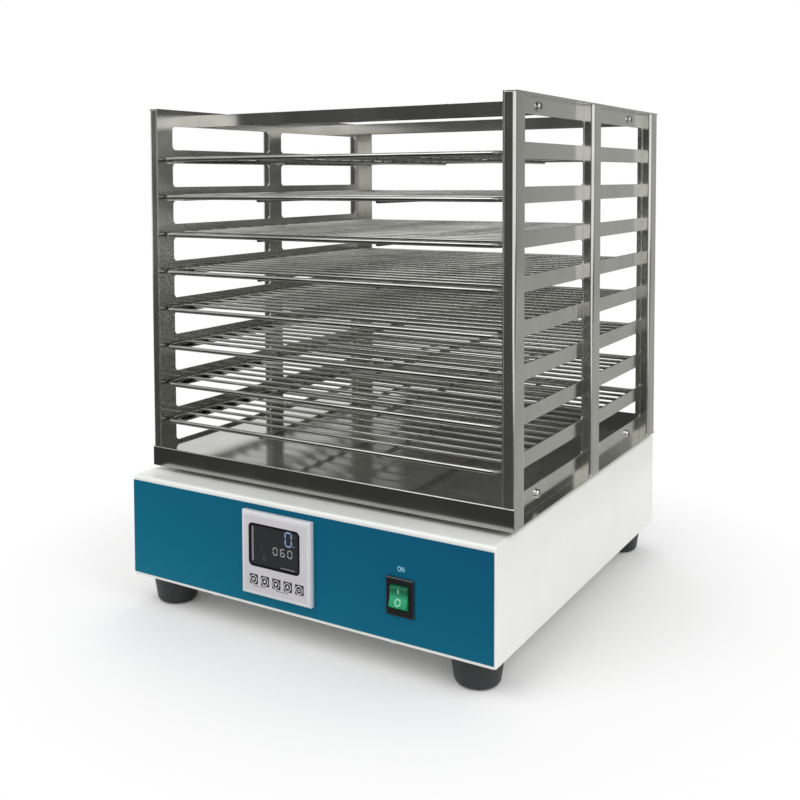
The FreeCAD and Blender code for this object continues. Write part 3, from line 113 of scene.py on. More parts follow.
bpy.ops.mesh.primitive_plane_add(size=9, location=(0, 0, 0))
bench = bpy.context.active_object
bench.name = "bench"
bench_finish = bpy.data.materials.new("bench")
bench_finish.use_nodes = True
tree = bench_finish.node_tree
paint = tree.nodes["Principled BSDF"]
paint.inputs["Base Color"].default_value = (0.93, 0.93, 0.93, 1)
paint.inputs["Roughness"].default_value = 0.9
paint.inputs["Specular IOR Level"].default_value = 0.0
white = tree.nodes.new("ShaderNodeEmission")
white.inputs["Strength"].default_value = 1.0
place = tree.nodes.new("ShaderNodeTexCoord")
reach = tree.nodes.new("ShaderNodeVectorMath")
reach.operation = "LENGTH"
fade = tree.nodes.new("ShaderNodeMapRange")
fade.interpolation_type = "SMOOTHSTEP"
fade.inputs["From Min"].default_value = 0.2
fade.inputs["From Max"].default_value = 0.46
ray = tree.nodes.new("ShaderNodeLightPath")
shown = tree.nodes.new("ShaderNodeMath")
shown.operation = "MAXIMUM"
share = tree.nodes.new("ShaderNodeMath")
share.operation = "MULTIPLY"
blend = tree.nodes.new("ShaderNodeMixShader")
link = tree.links.new
link(place.outputs["Object"], reach.inputs[0])
link(reach.outputs["Value"], fade.inputs["Value"])
link(ray.outputs["Is Camera Ray"], shown.inputs[0])
link(ray.outputs["Is Glossy Ray"], shown.inputs[1])
link(fade.outputs["Result"], share.inputs[0])
link(shown.outputs[0], share.inputs[1])
link(share.outputs[0], blend.inputs["Fac"])
link(paint.outputs["BSDF"], blend.inputs[1])
link(white.outputs["Emission"], blend.inputs[2])
link(blend.outputs["Shader"], tree.nodes["Material Output"].inputs["Surface"])
bench.data.materials.append(bench_finish)

# ---------------------------------------------------------------------------
# Dark and grey cloths on the bench, up the wall behind it and overhead, out
# of the camera's sight: only mirror faces see them, as the polished sheet of
# the photograph sees the darker parts of its studio.

# Each cloth from left to right and from near to far on the bench, then its
# height up the wall, its length back overhead, and its tone
STUDIO_CLOTHS = {
    "front_cloth": ((-3.2, 1.0), (-0.27, -3.0), 1.4, 0, 0.07),
    "right_cloth": ((0.28, 1.72), (-0.25, 3.2), 1.0, 0, 0.4),
    "far_right_cloth": ((1.72, 5.0), (-0.6, 3.2), 1.6, 0, 0.09),
    "rear_cloth": ((-1.9, 5.0), (3.1, 3.3), 3.0, 3.4, 0.055),
}
for name, ((left, right), (near, far), height, overhead, tone) in STUDIO_CLOTHS.items():
    bpy.ops.mesh.primitive_plane_add(size=1, location=(0, 0, 0))
    cloth = bpy.context.active_object
    cloth.name = name
    cloth.data.transform(
        Matrix.Translation(((left + right) / 2, (near + far) / 2, 0.001))
        @ Matrix.Diagonal((right - left, abs(far - near), 1, 1))
    )
    for face in cloth.data.polygons:
        face.select = False
    for edge in cloth.data.edges:
        edge.select = all(abs(cloth.data.vertices[v].co.y - far) < 0.01 for v in edge.vertices)
    for point in cloth.data.vertices:
        point.select = abs(point.co.y - far) < 0.01
    bpy.ops.object.mode_set(mode="EDIT")
    bpy.ops.mesh.extrude_region_move(TRANSFORM_OT_translate={"value": (0, 0, height)})
    if overhead:
        bpy.ops.mesh.extrude_region_move(TRANSFORM_OT_translate={"value": (0, -overhead, 0)})
    bpy.ops.object.mode_set(mode="OBJECT")
    cloth_finish = bpy.data.materials.new(name)
    cloth_finish.use_nodes = True
    cloth_nodes = cloth_finish.node_tree.nodes
    cloth_tone = cloth_nodes.new("ShaderNodeEmission")
    cloth_tone.inputs["Color"].default_value = (tone, tone, tone * 0.98, 1)
    cloth_finish.node_tree.links.new(
        cloth_tone.outputs["Emission"], cloth_nodes["Material Output"].inputs["Surface"]
    )
    cloth.data.materials.append(cloth_finish)
    cloth.visible_camera = False
    cloth.visible_diffuse = False
    cloth.visible_shadow = False
    cloth.visible_transmission = False

# ---------------------------------------------------------------------------
# Casing: a deep cover of folded steel sheet, powder coated warm white, and a
# bottom plate of the same sheet screwed up into its flanges.


def new_finish(name, metallic=0.0, gloss=(0.4, 0.5), coat=0.0):
    """A node finish whose roughness drifts a little over the surface."""
    finish = bpy.data.materials.new(name)
    finish.use_nodes = True
    tree = finish.node_tree
    shader = tree.nodes["Principled BSDF"]
    shader.inputs["Metallic"].default_value = metallic
    shader.inputs["Coat Weight"].default_value = coat
    shader.inputs["Coat Roughness"].default_value = 0.08
    place = tree.nodes.new("ShaderNodeTexCoord")
    drift = tree.nodes.new("ShaderNodeTexNoise")
    drift.inputs["Scale"].default_value = 22
    drift.inputs["Detail"].default_value = 4
    gloss_range = tree.nodes.new("ShaderNodeMapRange")
    gloss_range.inputs["To Min"].default_value = gloss[0]
    gloss_range.inputs["To Max"].default_value = gloss[1]
    tree.links.new(place.outputs["Object"], drift.inputs["Vector"])
    tree.links.new(drift.outputs["Fac"], gloss_range.inputs["Value"])
    tree.links.new(gloss_range.outputs["Result"], shader.inputs["Roughness"])
    return finish, tree, shader, place, drift


def tint(tree, shader, factor, dark, light):
    """The finish's colour runs from dark to light with a factor."""
    ramp = tree.nodes.new("ShaderNodeValToRGB")
    ramp.color_ramp.elements[0].position = 0.3
    ramp.color_ramp.elements[1].position = 0.7
    ramp.color_ramp.elements[0].color = (*dark, 1)
    ramp.color_ramp.elements[1].color = (*light, 1)
    tree.links.new(factor, ramp.inputs["Fac"])
    tree.links.new(ramp.outputs["Color"], shader.inputs["Base Color"])
    return ramp


def grain(tree, shader, place, scale, height, edge=0.0, stretch=(1, 1, 1)):
    """A fine relief, over edges that look slightly rounded."""
    mapping = tree.nodes.new("ShaderNodeMapping")
    mapping.inputs["Scale"].default_value = stretch
    noise = tree.nodes.new("ShaderNodeTexNoise")
    noise.inputs["Scale"].default_value = scale
    noise.inputs["Detail"].default_value = 3
    bump = tree.nodes.new("ShaderNodeBump")
    bump.inputs["Strength"].default_value = 1
    bump.inputs["Distance"].default_value = height
    tree.links.new(place.outputs["Object"], mapping.inputs["Vector"])
    tree.links.new(mapping.outputs["Vector"], noise.inputs["Vector"])
    tree.links.new(noise.outputs["Fac"], bump.inputs["Height"])
    tree.links.new(bump.outputs["Normal"], shader.inputs["Normal"])
    if edge:
        rounding = tree.nodes.new("ShaderNodeBevel")
        rounding.samples = 6
        rounding.inputs["Radius"].default_value = edge
        tree.links.new(rounding.outputs["Normal"], bump.inputs["Normal"])


def plain_finish(name, dark, light, scale=0, relief=0.0, edge=0.0, stretch=(1, 1, 1), **kind):
    """A finish that drifts between two tones, with a grain where it has a scale."""
    finish, tree, shader, place, drift = new_finish(name, **kind)
    tint(tree, shader, drift.outputs["Fac"], dark, light)
    if scale:
        grain(tree, shader, place, scale, relief, edge, stretch)
    return finish


def coat_node(node, finish):
    """Gives a CAD node its finish."""
    nodes[node].data.materials.clear()
    nodes[node].data.materials.append(finish)


casing_white = plain_finish(
    "casing_white", dark=(0.84, 0.85, 0.81), light=(0.88, 0.89, 0.86),
    scale=900, relief=0.00002, edge=0.0012, gloss=(0.3, 0.4), coat=0.3,
)
coat_node("base_cover", casing_white)
coat_node("bottom_plate", casing_white)

# ---------------------------------------------------------------------------
# Screws, studs, spacers and the motor bracket: zinc plated steel, turned,
# rolled or bent, and bolted to the bottom plate and the carriage.

zinc_steel = plain_finish(
    "zinc_steel", dark=(0.5, 0.5, 0.51), light=(0.66, 0.66, 0.65),
    scale=700, relief=0.00003, edge=0.0004, metallic=1, gloss=(0.3, 0.45),
)
for node in ("foot_studs", "cover_screws", "motor_screws", "motor_bracket", "spacer_posts"):
    coat_node(node, zinc_steel)

# ---------------------------------------------------------------------------
# Front film: a printed polyester sheet stuck on the casing's front, with a
# fine matt texture and painted shade that darkens its blue to the right and top.

panel_blue, tree, shader, place, drift = new_finish("panel_blue", gloss=(0.34, 0.42))
shader.inputs["Specular IOR Level"].default_value = 0.12
film_low, film_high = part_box("front_overlay")
# Painted shade: the film's blue darkens towards the right and towards the top.
shade_to_right, shade_to_top = 0.55, 0.45
across = tree.nodes.new("ShaderNodeSeparateXYZ")
slope_x = tree.nodes.new("ShaderNodeMapRange")
slope_x.inputs["From Min"].default_value = film_low.x
slope_x.inputs["From Max"].default_value = film_high.x
slope_x.inputs["To Max"].default_value = shade_to_right
slope_z = tree.nodes.new("ShaderNodeMapRange")
slope_z.inputs["From Min"].default_value = film_low.z
slope_z.inputs["From Max"].default_value = film_high.z
slope_z.inputs["To Max"].default_value = shade_to_top
depth = tree.nodes.new("ShaderNodeMath")
tree.links.new(place.outputs["Object"], across.inputs["Vector"])
tree.links.new(across.outputs["X"], slope_x.inputs["Value"])
tree.links.new(across.outputs["Z"], slope_z.inputs["Value"])
tree.links.new(slope_x.outputs["Result"], depth.inputs[0])
tree.links.new(slope_z.outputs["Result"], depth.inputs[1])
ramp = tint(tree, shader, depth.outputs[0], (0.0, 0.15, 0.235), (0.0, 0.085, 0.17))
ramp.color_ramp.elements[0].position = 0.0
ramp.color_ramp.elements[1].position = 1.0
grain(tree, shader, place, 2600, 0.00001, edge=0.0003)
coat_node("front_overlay", panel_blue)

# ---------------------------------------------------------------------------
# Lettering above the switch: printed in pale cyan on the film. It is made
# as text, turned upright and laid on the film's face.

capital_share = 0.7  # a capital letter's height in the size of its font


def clear_selection():
    """Object mode with nothing selected."""
    if bpy.context.mode != "OBJECT":
        bpy.ops.object.mode_set(mode="OBJECT")
    bpy.ops.object.select_all(action="DESELECT")


def print_text(name, words, height, narrow, bold, centre, finish):
    """Flat lettering, as a mesh, on a face that looks to the front."""
    clear_selection()
    bpy.ops.object.text_add(location=(0, 0, 0))
    lettering = bpy.context.active_object
    lettering.name = name
    lettering.data.body = words
    lettering.data.size = height / capital_share
    lettering.data.align_x = "CENTER"
    lettering.data.align_y = "CENTER"
    lettering.data.offset = bold
    bpy.ops.object.convert(target="MESH")
    lettering = bpy.context.active_object
    lettering.data.transform(
        Matrix.Translation(centre)
        @ Matrix.Rotation(math.radians(90), 4, "X")
        @ Matrix.Diagonal((narrow, 1, 1, 1))
    )
    lettering.data.materials.clear()
    lettering.data.materials.append(finish)
    return lettering


print_cyan = plain_finish(
    "print_cyan", dark=(0.3, 0.66, 0.83), light=(0.42, 0.78, 0.9),
    gloss=(0.45, 0.55),
)
switch_low, switch_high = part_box("switch_case")
switch_x = (switch_low.x + switch_high.x) / 2
lettering_place = (switch_x + 0.0006, film_low.y - 0.00006, switch_high.z + 0.0068)
on_lettering = print_text(
    "switch_on_lettering",
    "ON",
    height=0.0040,
    narrow=0.72,
    bold=0.00004,
    centre=lettering_place,
    finish=print_cyan,
)
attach(on_lettering, "base")

# ---------------------------------------------------------------------------
# Feet: four moulded rubber feet, wider at the top, with a rounded lower edge
# and a hollow for the nut of the stud that holds each of them.


def start_edit(piece, kind):
    """Opens a piece in edit mode with nothing selected."""
    clear_selection()
    piece.select_set(True)
    bpy.context.view_layer.objects.active = piece
    bpy.ops.object.mode_set(mode="EDIT")
    bpy.ops.mesh.select_mode(type=kind)
    bpy.ops.mesh.select_all(action="DESELECT")
    bpy.ops.object.mode_set(mode="OBJECT")


def pick_faces(piece, wanted):
    """Selects the faces that a test on a face says yes to, and goes to edit mode."""
    start_edit(piece, "FACE")
    for face in piece.data.polygons:
        face.select = wanted(face)
    bpy.ops.object.mode_set(mode="EDIT")


def pick_edges(piece, wanted):
    """Selects the edges whose two ends a test says yes to, and goes to edit mode."""
    start_edit(piece, "EDGE")
    points = piece.data.vertices
    for edge in piece.data.edges:
        edge.select = all(wanted(points[v].co) for v in edge.vertices)
    bpy.ops.object.mode_set(mode="EDIT")


def pick_edges_along_y(piece):
    """Selects the edges that run from front to back, and goes to edit mode."""
    start_edit(piece, "EDGE")
    points = piece.data.vertices
    for edge in piece.data.edges:
        one, two = (points[v].co for v in edge.vertices)
        edge.select = abs(one.y - two.y) > 0.00001
    bpy.ops.object.mode_set(mode="EDIT")


def settle(piece):
    """Back to object mode, with the piece's place put into its mesh."""
    clear_selection()
    piece.select_set(True)
    bpy.context.view_layer.objects.active = piece
    bpy.ops.object.transform_apply(location=True, rotation=True, scale=True)


def dress(piece, name, finish, body, slot, *replaced, angle=35):
    """Names a finished piece, gives it its finish and ties it to its body."""
    settle(piece)
    bpy.ops.object.shade_smooth_by_angle(angle=math.radians(angle))
    piece.name = name
    piece.data.name = name
    piece.data.materials.clear()
    piece.data.materials.append(finish)
    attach(piece, body)
    if replaced:
        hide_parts(*replaced)
    return piece


def copy_piece(piece, turn_and_place):
    """A copy with its own mesh, moved by a matrix."""
    twin = piece.copy()
    twin.data = piece.data.copy()
    twin.data.transform(turn_and_place)
    bpy.context.scene.collection.objects.link(twin)
    return twin


foot_rubber = plain_finish(
    "foot_rubber", dark=(0.012, 0.013, 0.014), light=(0.024, 0.026, 0.028),
    scale=1500, relief=0.00004, gloss=(0.42, 0.55),
)
foot_low, foot_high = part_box("foot_front_left")
foot_height = foot_high.z - foot_low.z
foot_bottom_radius, foot_top_radius = 0.018, 0.022
lower_round, upper_round = 0.0042, 0.0008
hollow_rim, hollow_depth = 0.005, 0.008
bpy.ops.mesh.primitive_cone_add(
    vertices=72,
    radius1=foot_bottom_radius,
    radius2=foot_top_radius,
    depth=foot_height,
    location=(0, 0, foot_low.z + foot_height / 2),
)
foot = bpy.context.active_object
settle(foot)
pick_edges(foot, lambda p: p.z < foot_low.z + 0.001)
bpy.ops.mesh.bevel(offset=lower_round, segments=6, profile=0.5)
pick_edges(foot, lambda p: p.z > foot_high.z - 0.0001)
bpy.ops.mesh.bevel(offset=upper_round, segments=3)
pick_faces(foot, lambda f: f.normal.z < -0.9 and f.center.z < foot_low.z + 0.00002)
bpy.ops.mesh.inset(thickness=hollow_rim)
bpy.ops.mesh.extrude_region_move(TRANSFORM_OT_translate={"value": (0, 0, hollow_depth)})
bpy.ops.object.mode_set(mode="OBJECT")
for node in ("foot_front_left", "foot_front_right", "foot_rear_left", "foot_rear_right"):
    low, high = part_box(node)
    middle = (low + high) / 2
    twin = copy_piece(foot, Matrix.Translation((middle.x, middle.y, 0)))
    dress(twin, "rubber_" + node, foot_rubber, "base", "foot_rubber", node)
bpy.data.objects.remove(foot)

# ---------------------------------------------------------------------------
# Panel meter: a grey moulded case with a thin face plate inside its rim. The
# face plate has a window with round corners and holes for the five keys.

meter_grey = plain_finish(
    "meter_grey", dark=(0.64, 0.65, 0.67), light=(0.7, 0.71, 0.73),
    scale=1800, relief=0.00002, edge=0.0009, gloss=(0.42, 0.52),
)
coat_node("meter_case", meter_grey)

meter_face = plain_finish(
    "meter_face", dark=(0.56, 0.54, 0.57), light=(0.61, 0.59, 0.62),
    scale=2600, relief=0.00001, gloss=(0.38, 0.46),
)
case_low, case_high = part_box("meter_case")
case_middle = (case_low + case_high) / 2
window_low, window_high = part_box("meter_window")
face_side = 0.0648
face_thick = 0.0003
face_edge = 0.00012
window_corner = 0.0042
hole_play = 0.0004  # the face plate's holes against the keys, and its edge over the window
cutter_depth = 0.004
bpy.ops.mesh.primitive_cube_add(
    size=1,
    location=(case_middle.x, case_low.y - face_thick / 2, case_middle.z),
    scale=(face_side, face_thick, face_side),
)
face_plate = bpy.context.active_object
settle(face_plate)
pick_edges(face_plate, lambda p: p.y < case_low.y - face_thick / 2)
bpy.ops.mesh.bevel(offset=face_edge, segments=2)
bpy.ops.object.mode_set(mode="OBJECT")

# The cutter for the window is a block whose four edges along Y are rounded
bpy.ops.mesh.primitive_cube_add(
    size=1,
    location=((window_low.x + window_high.x) / 2, case_low.y, (window_low.z + window_high.z) / 2),
    scale=(
        window_high.x - window_low.x - hole_play,
        cutter_depth,
        window_high.z - window_low.z - hole_play,
    ),
)
window_cutter = bpy.context.active_object
settle(window_cutter)
pick_edges_along_y(window_cutter)
bpy.ops.mesh.bevel(offset=window_corner, segments=8)
bpy.ops.object.mode_set(mode="OBJECT")


def cut_with(piece, cutter):
    """Takes the cutter's shape out of a piece and throws the cutter away."""
    clear_selection()
    piece.select_set(True)
    bpy.context.view_layer.objects.active = piece
    cut = piece.modifiers.new("cut", "BOOLEAN")
    cut.operation = "DIFFERENCE"
    cut.solver = "EXACT"
    cut.object = cutter
    bpy.ops.object.modifier_apply(modifier="cut")
    bpy.data.objects.remove(cutter)


cut_with(face_plate, window_cutter)
for number in range(1, 6):
    low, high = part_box(f"meter_key_{number}")
    bpy.ops.mesh.primitive_cube_add(
        size=1,
        location=((low.x + high.x) / 2, case_low.y, (low.z + high.z) / 2),
        scale=(high.x - low.x + hole_play, cutter_depth, high.z - low.z + hole_play),
    )
    key_cutter = bpy.context.active_object
    settle(key_cutter)
    cut_with(face_plate, key_cutter)
dress(face_plate, "meter_face_plate", meter_face, "base", "meter_grey")

# ---------------------------------------------------------------------------
# Display: smoked clear plastic over a black mask, with the meter's figures
# in pale blue and grey and two grey strips painted on as highlights of the lamps.

display_dark, tree, shader, place, drift = new_finish("display_dark", gloss=(0.12, 0.18))
centre = (window_low + window_high) / 2
half = (window_high - window_low) / 2
mask_border = 0.0022
from_middle = tree.nodes.new("ShaderNodeMapping")
from_middle.vector_type = "TEXTURE"
from_middle.inputs["Location"].default_value = centre
from_middle.inputs["Scale"].default_value = (half.x - mask_border, 1, half.z - mask_border)
distance = tree.nodes.new("ShaderNodeVectorMath")
distance.operation = "ABSOLUTE"
sides = tree.nodes.new("ShaderNodeSeparateXYZ")
outer = tree.nodes.new("ShaderNodeMath")
outer.operation = "MAXIMUM"
tree.links.new(place.outputs["Object"], from_middle.inputs["Vector"])
tree.links.new(from_middle.outputs["Vector"], distance.inputs[0])
tree.links.new(distance.outputs["Vector"], sides.inputs["Vector"])
tree.links.new(sides.outputs["X"], outer.inputs[0])
tree.links.new(sides.outputs["Z"], outer.inputs[1])
ramp = tint(tree, shader, outer.outputs[0], (0.028, 0.031, 0.033), (0.008, 0.008, 0.013))
ramp.color_ramp.elements[0].position = 0.97
ramp.color_ramp.elements[1].position = 1.0
coat_node("meter_window", display_dark)


def glow(name, colour, strength):
    """A figure of the display, lit from behind."""
    finish, tree, shader, place, drift = new_finish(name, gloss=(0.3, 0.4))
    tint(tree, shader, drift.outputs["Fac"], [c * 0.9 for c in colour], colour)
    shader.inputs["Emission Color"].default_value = (*colour, 1)
    shader.inputs["Emission Strength"].default_value = strength
    return finish


figure_blue = glow("figure_blue", (0.2, 0.3, 0.52), 0.2)
figure_white = glow("figure_white", (0.36, 0.36, 0.37), 0.15)
figure_faint = glow("figure_faint", (0.11, 0.11, 0.1), 0.0)
# Painted highlight: the grey of two strips where the lamps catch the window, with no glow of its
# own.
highlight_grey = glow("highlight_grey", (0.24, 0.23, 0.24), 0.0)
figure_face = window_low.y - 0.00004
figure_depth = 0.00006

# The seven bars of a figure: middle across and up the figure, and whether upright
BARS = {
    "top": (0.5, 1.0, False),
    "upper_right": (1.0, 0.75, True),
    "lower_right": (1.0, 0.25, True),
    "bottom": (0.5, 0.0, False),
    "lower_left": (0.0, 0.25, True),
    "upper_left": (0.0, 0.75, True),
    "middle": (0.5, 0.5, False),
}
FIGURES = {
    "0": ("top", "upper_right", "lower_right", "bottom", "lower_left", "upper_left"),
    "1": ("upper_right", "lower_right"),
    "6": ("top", "lower_right", "bottom", "lower_left", "upper_left", "middle"),
}


def add_bar(long, thick, place, upright):
    """One bar of a figure: a flat block with pointed ends."""
    bpy.ops.mesh.primitive_cube_add(size=1, location=(0, 0, 0), scale=(long, figure_depth, thick))
    bar = bpy.context.active_object
    settle(bar)
    pick_edges_along_y(bar)
    bpy.ops.mesh.bevel(offset=thick * 0.42, segments=1)
    bpy.ops.object.mode_set(mode="OBJECT")
    turn = Matrix.Rotation(math.radians(90), 4, "Y") if upright else Matrix.Identity(4)
    bar.data.transform(Matrix.Translation(place) @ turn)
    return bar


def join_pieces(pieces):
    """Joins flat or welded pieces to one object."""
    clear_selection()
    for piece in pieces:
        piece.select_set(True)
    bpy.context.view_layer.objects.active = pieces[0]
    bpy.ops.object.join()
    return bpy.context.active_object


def add_figure(name, digits, left, bottom, width, height, pitch, thick, finish):
    """A row of figures on the display."""
    bars = []
    for step, digit in enumerate(digits):
        for bar in FIGURES[digit]:
            across, up, upright = BARS[bar]
            long = (height / 2 if upright else width) - thick * 0.7
            spot = (left + step * pitch + across * width, figure_face, bottom + up * height)
            bars.append(add_bar(long, thick, spot, upright))
    row = join_pieces(bars)
    return dress(row, name, finish, "base", "meter_window")


# Each row's digits, its lower left corner in the window, a figure's width and
# height, the step to the next figure, the thickness of a bar, and its finish
FIGURE_ROWS = {
    "display_speed": ("0", 0.0388, 0.0235, 0.0062, 0.0116, 0, 0.0013, figure_blue),
    "display_setting": ("060", 0.0262, 0.0138, 0.0040, 0.0060, 0.0076, 0.0008, figure_white),
    "display_channel": ("1", 0.0115, 0.0165, 0.0022, 0.0030, 0, 0.0005, figure_faint),
    "display_group": ("0", 0.0158, 0.0072, 0.0024, 0.0036, 0, 0.0006, figure_faint),
}
left, bottom = window_low.x, window_low.z
for name, (digits, x, z, *sizes_and_finish) in FIGURE_ROWS.items():
    add_figure(name, digits, left + x, bottom + z, *sizes_and_finish)

# The point and the painted highlight strips: middle, width and height, and finish
FLAT_MARKS = {
    "display_point": (left + 0.0474, bottom + 0.0240, 0.0011, 0.0011, figure_blue),
    "display_left_highlight": (left + 0.0044, bottom + 0.0198, 0.0018, 0.0300, highlight_grey),
    "display_low_highlight": (left + 0.0410, bottom + 0.0036, 0.0150, 0.0009, highlight_grey),
}
for name, (x, z, width, height, finish) in FLAT_MARKS.items():
    bpy.ops.mesh.primitive_cube_add(
        size=1, location=(x, figure_face, z), scale=(width, figure_depth, height)
    )
    mark = bpy.context.active_object
    settle(mark)
    pick_edges_along_y(mark)
    bpy.ops.mesh.bevel(offset=min(width, height) * 0.45, segments=3)
    dress(mark, name, finish, "base", "meter_window")

# ---------------------------------------------------------------------------
# Meter keys: five moulded black key tops in the holes of the face plate,
# each printed with a pale ring round its sign.

key_black = plain_finish(
    "key_black", dark=(0.008, 0.008, 0.01), light=(0.018, 0.018, 0.02),
    scale=2200, relief=0.00001, edge=0.0004, gloss=(0.4, 0.5),
)
print_pale = plain_finish(
    "print_pale", dark=(0.62, 0.61, 0.63), light=(0.7, 0.69, 0.71),
    gloss=(0.5, 0.6),
)
KEY_SIGNS = ("down", "up", "down", "up", "bars")
print_depth = 0.00006
ring_radius, ring_width = 0.0036, 0.0007
arrow_radius = 0.0019
bar_long, bar_thick, bar_spread = 0.0030, 0.0006, 0.0007
for number, sign in enumerate(KEY_SIGNS, 1):
    node = f"meter_key_{number}"
    coat_node(node, key_black)
    low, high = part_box(node)
    middle = (low + high) / 2
    on_key = Matrix.Translation((middle.x, low.y - print_depth / 2, middle.z))
    upright = on_key @ Matrix.Rotation(math.radians(90), 4, "X")
    bpy.ops.mesh.primitive_cylinder_add(vertices=40, radius=ring_radius, depth=print_depth)
    ring = bpy.context.active_object
    pick_faces(ring, lambda f: abs(f.normal.z) > 0.9)
    bpy.ops.mesh.inset(thickness=ring_width)
    bpy.ops.mesh.delete(type="FACE")
    pick_edges(ring, lambda p: p.xy.length < ring_radius - ring_width / 2)
    bpy.ops.mesh.bridge_edge_loops()
    bpy.ops.object.mode_set(mode="OBJECT")
    signs = [ring]
    if sign == "bars":
        for rise in (bar_spread, -bar_spread):
            bpy.ops.mesh.primitive_cube_add(
                size=1, location=(0, rise, 0), scale=(bar_long, bar_thick, print_depth)
            )
            signs.append(bpy.context.active_object)
    else:
        bpy.ops.mesh.primitive_cylinder_add(
            vertices=3,
            radius=arrow_radius,
            depth=print_depth,
            location=(0, 0, 0),
            rotation=(0, 0, math.radians(180 if sign == "down" else 0)),
        )
        signs.append(bpy.context.active_object)
    for piece in signs:
        settle(piece)
    ring = join_pieces(signs)
    ring.data.transform(upright)
    dress(ring, f"key_sign_{number}", print_pale, f"key_{number}", "key_black")

# Brackets printed under the first and the second pair of keys
KEY_PAIRS = {1: ("meter_key_1", "meter_key_2"), 2: ("meter_key_3", "meter_key_4")}
bracket_drop, bracket_line, bracket_end, bracket_depth = 0.0016, 0.0004, 0.0011, 0.00004
for pair, (first, second) in KEY_PAIRS.items():
    left_x = (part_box(first)[0].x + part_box(first)[1].x) / 2
    right_x = (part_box(second)[0].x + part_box(second)[1].x) / 2
    line_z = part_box(first)[0].z - bracket_drop
    strokes = (
        ((left_x + right_x) / 2, line_z, right_x - left_x, bracket_line),
        (left_x, line_z + bracket_line, bracket_line, bracket_end),
        (right_x, line_z + bracket_line, bracket_line, bracket_end),
    )
    parts = []
    for x, z, width, height in strokes:
        bpy.ops.mesh.primitive_cube_add(
            size=1,
            location=(x, case_low.y - face_thick - bracket_depth / 2, z),
            scale=(width, bracket_depth, height),
        )
        stroke = bpy.context.active_object
        settle(stroke)
        parts.append(stroke)
    bracket = join_pieces(parts)
    dress(bracket, f"key_bracket_{pair}", key_black, "base", "meter_grey")

# ---------------------------------------------------------------------------
# Switch: a black snap-in case with a translucent green rocker, marked with
# the line and the circle for on and off.

black_plastic = plain_finish(
    "black_plastic", dark=(0.008, 0.008, 0.009), light=(0.016, 0.016, 0.017),
    scale=1600, relief=0.00002, edge=0.0006, gloss=(0.26, 0.36),
)
for node in ("switch_case", "meter_clips", "inlet_socket", "fuse_drawer"):
    coat_node(node, black_plastic)

switch_green, tree, shader, place, drift = new_finish("switch_green", gloss=(0.3, 0.4))
rocker_low, rocker_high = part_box("switch_rocker")
height = tree.nodes.new("ShaderNodeSeparateXYZ")
rise = tree.nodes.new("ShaderNodeMapRange")
rise.inputs["From Min"].default_value = rocker_low.z
rise.inputs["From Max"].default_value = rocker_high.z
tree.links.new(place.outputs["Object"], height.inputs["Vector"])
tree.links.new(height.outputs["Z"], rise.inputs["Value"])
# Painted light and shade: the rocker's green is lightest across the middle, light low down and
# darkest at the top.
ramp = tint(tree, shader, rise.outputs["Result"], (0.008, 0.26, 0.1), (0.0, 0.1, 0.04))
ramp.color_ramp.elements[0].position = 0.1
ramp.color_ramp.elements[1].position = 0.75
middle_light = ramp.color_ramp.elements.new(0.5)
middle_light.color = (0.02, 0.34, 0.16, 1)
shader.inputs["Emission Color"].default_value = (0.01, 0.25, 0.1, 1)
shader.inputs["Emission Strength"].default_value = 0.12
grain(tree, shader, place, 300, 0.00002, edge=0.0005)
coat_node("switch_rocker", switch_green)

sign_pale = plain_finish(
    "sign_pale", dark=(0.3, 0.62, 0.48), light=(0.42, 0.75, 0.6),
    gloss=(0.4, 0.5),
)
rocker_x = (rocker_low.x + rocker_high.x) / 2
SWITCH_SIGNS = {
    "switch_sign_on": ("I", rocker_low.z + 0.0160, 0.0050),
    "switch_sign_off": ("O", rocker_low.z + 0.0068, 0.0056),
}
for name, (words, z, size) in SWITCH_SIGNS.items():
    sign = print_text(
        name, words, size, 0.9, 0.00014, (rocker_x, rocker_low.y - 0.002, z), sign_pale
    )
    clear_selection()
    sign.select_set(True)
    bpy.context.view_layer.objects.active = sign
    bpy.ops.object.mode_set(mode="EDIT")
    bpy.ops.mesh.select_all(action="SELECT")
    bpy.ops.mesh.subdivide(number_cuts=2)
    bpy.ops.object.mode_set(mode="OBJECT")
    lay_on = sign.modifiers.new("lay_on", "SHRINKWRAP")
    lay_on.wrap_method = "PROJECT"
    lay_on.use_project_y = True
    lay_on.use_negative_direction = False
    lay_on.use_positive_direction = True
    lay_on.target = nodes["switch_rocker"]
    lay_on.offset = 0.00008
    bpy.ops.object.modifier_apply(modifier="lay_on")
    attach(sign, "switch")

# ---------------------------------------------------------------------------
# Mains inlet at the back: brass pins in a moulded black socket, which is
# pushed into the back of the casing together with its fuse drawer.

contact_brass = plain_finish(
    "contact_brass", dark=(0.62, 0.58, 0.45), light=(0.76, 0.72, 0.58),
    scale=900, relief=0.00001, edge=0.0003, metallic=1, gloss=(0.2, 0.3),
)
coat_node("inlet_pins", contact_brass)

# ---------------------------------------------------------------------------
# Electrical parts in the base: a power supply in a zinc plated box and the
# speed control board with its capacitors, on nylon spacers.

coat_node("power_supply", zinc_steel)
board_green = plain_finish(
    "board_green", dark=(0.012, 0.14, 0.05), light=(0.03, 0.22, 0.09),
    scale=500, relief=0.00005, gloss=(0.3, 0.4),
)
coat_node("speed_board", board_green)
spacer_nylon = plain_finish(
    "spacer_nylon", dark=(0.5, 0.5, 0.48), light=(0.6, 0.6, 0.58),
    scale=800, relief=0.00002, edge=0.0003, gloss=(0.45, 0.55),
)
coat_node("board_spacers", spacer_nylon)

# ---------------------------------------------------------------------------
# Slide: two ground and chromed rods in machined supports, on which the four
# bearing blocks of the carriage run.

hard_chrome = plain_finish(
    "hard_chrome", dark=(0.72, 0.73, 0.75), light=(0.8, 0.81, 0.83),
    scale=400, relief=0.00001, stretch=(1, 0.1, 0.1), metallic=1, gloss=(0.06, 0.12),
)
coat_node("guide_rod_front", hard_chrome)
coat_node("guide_rod_rear", hard_chrome)

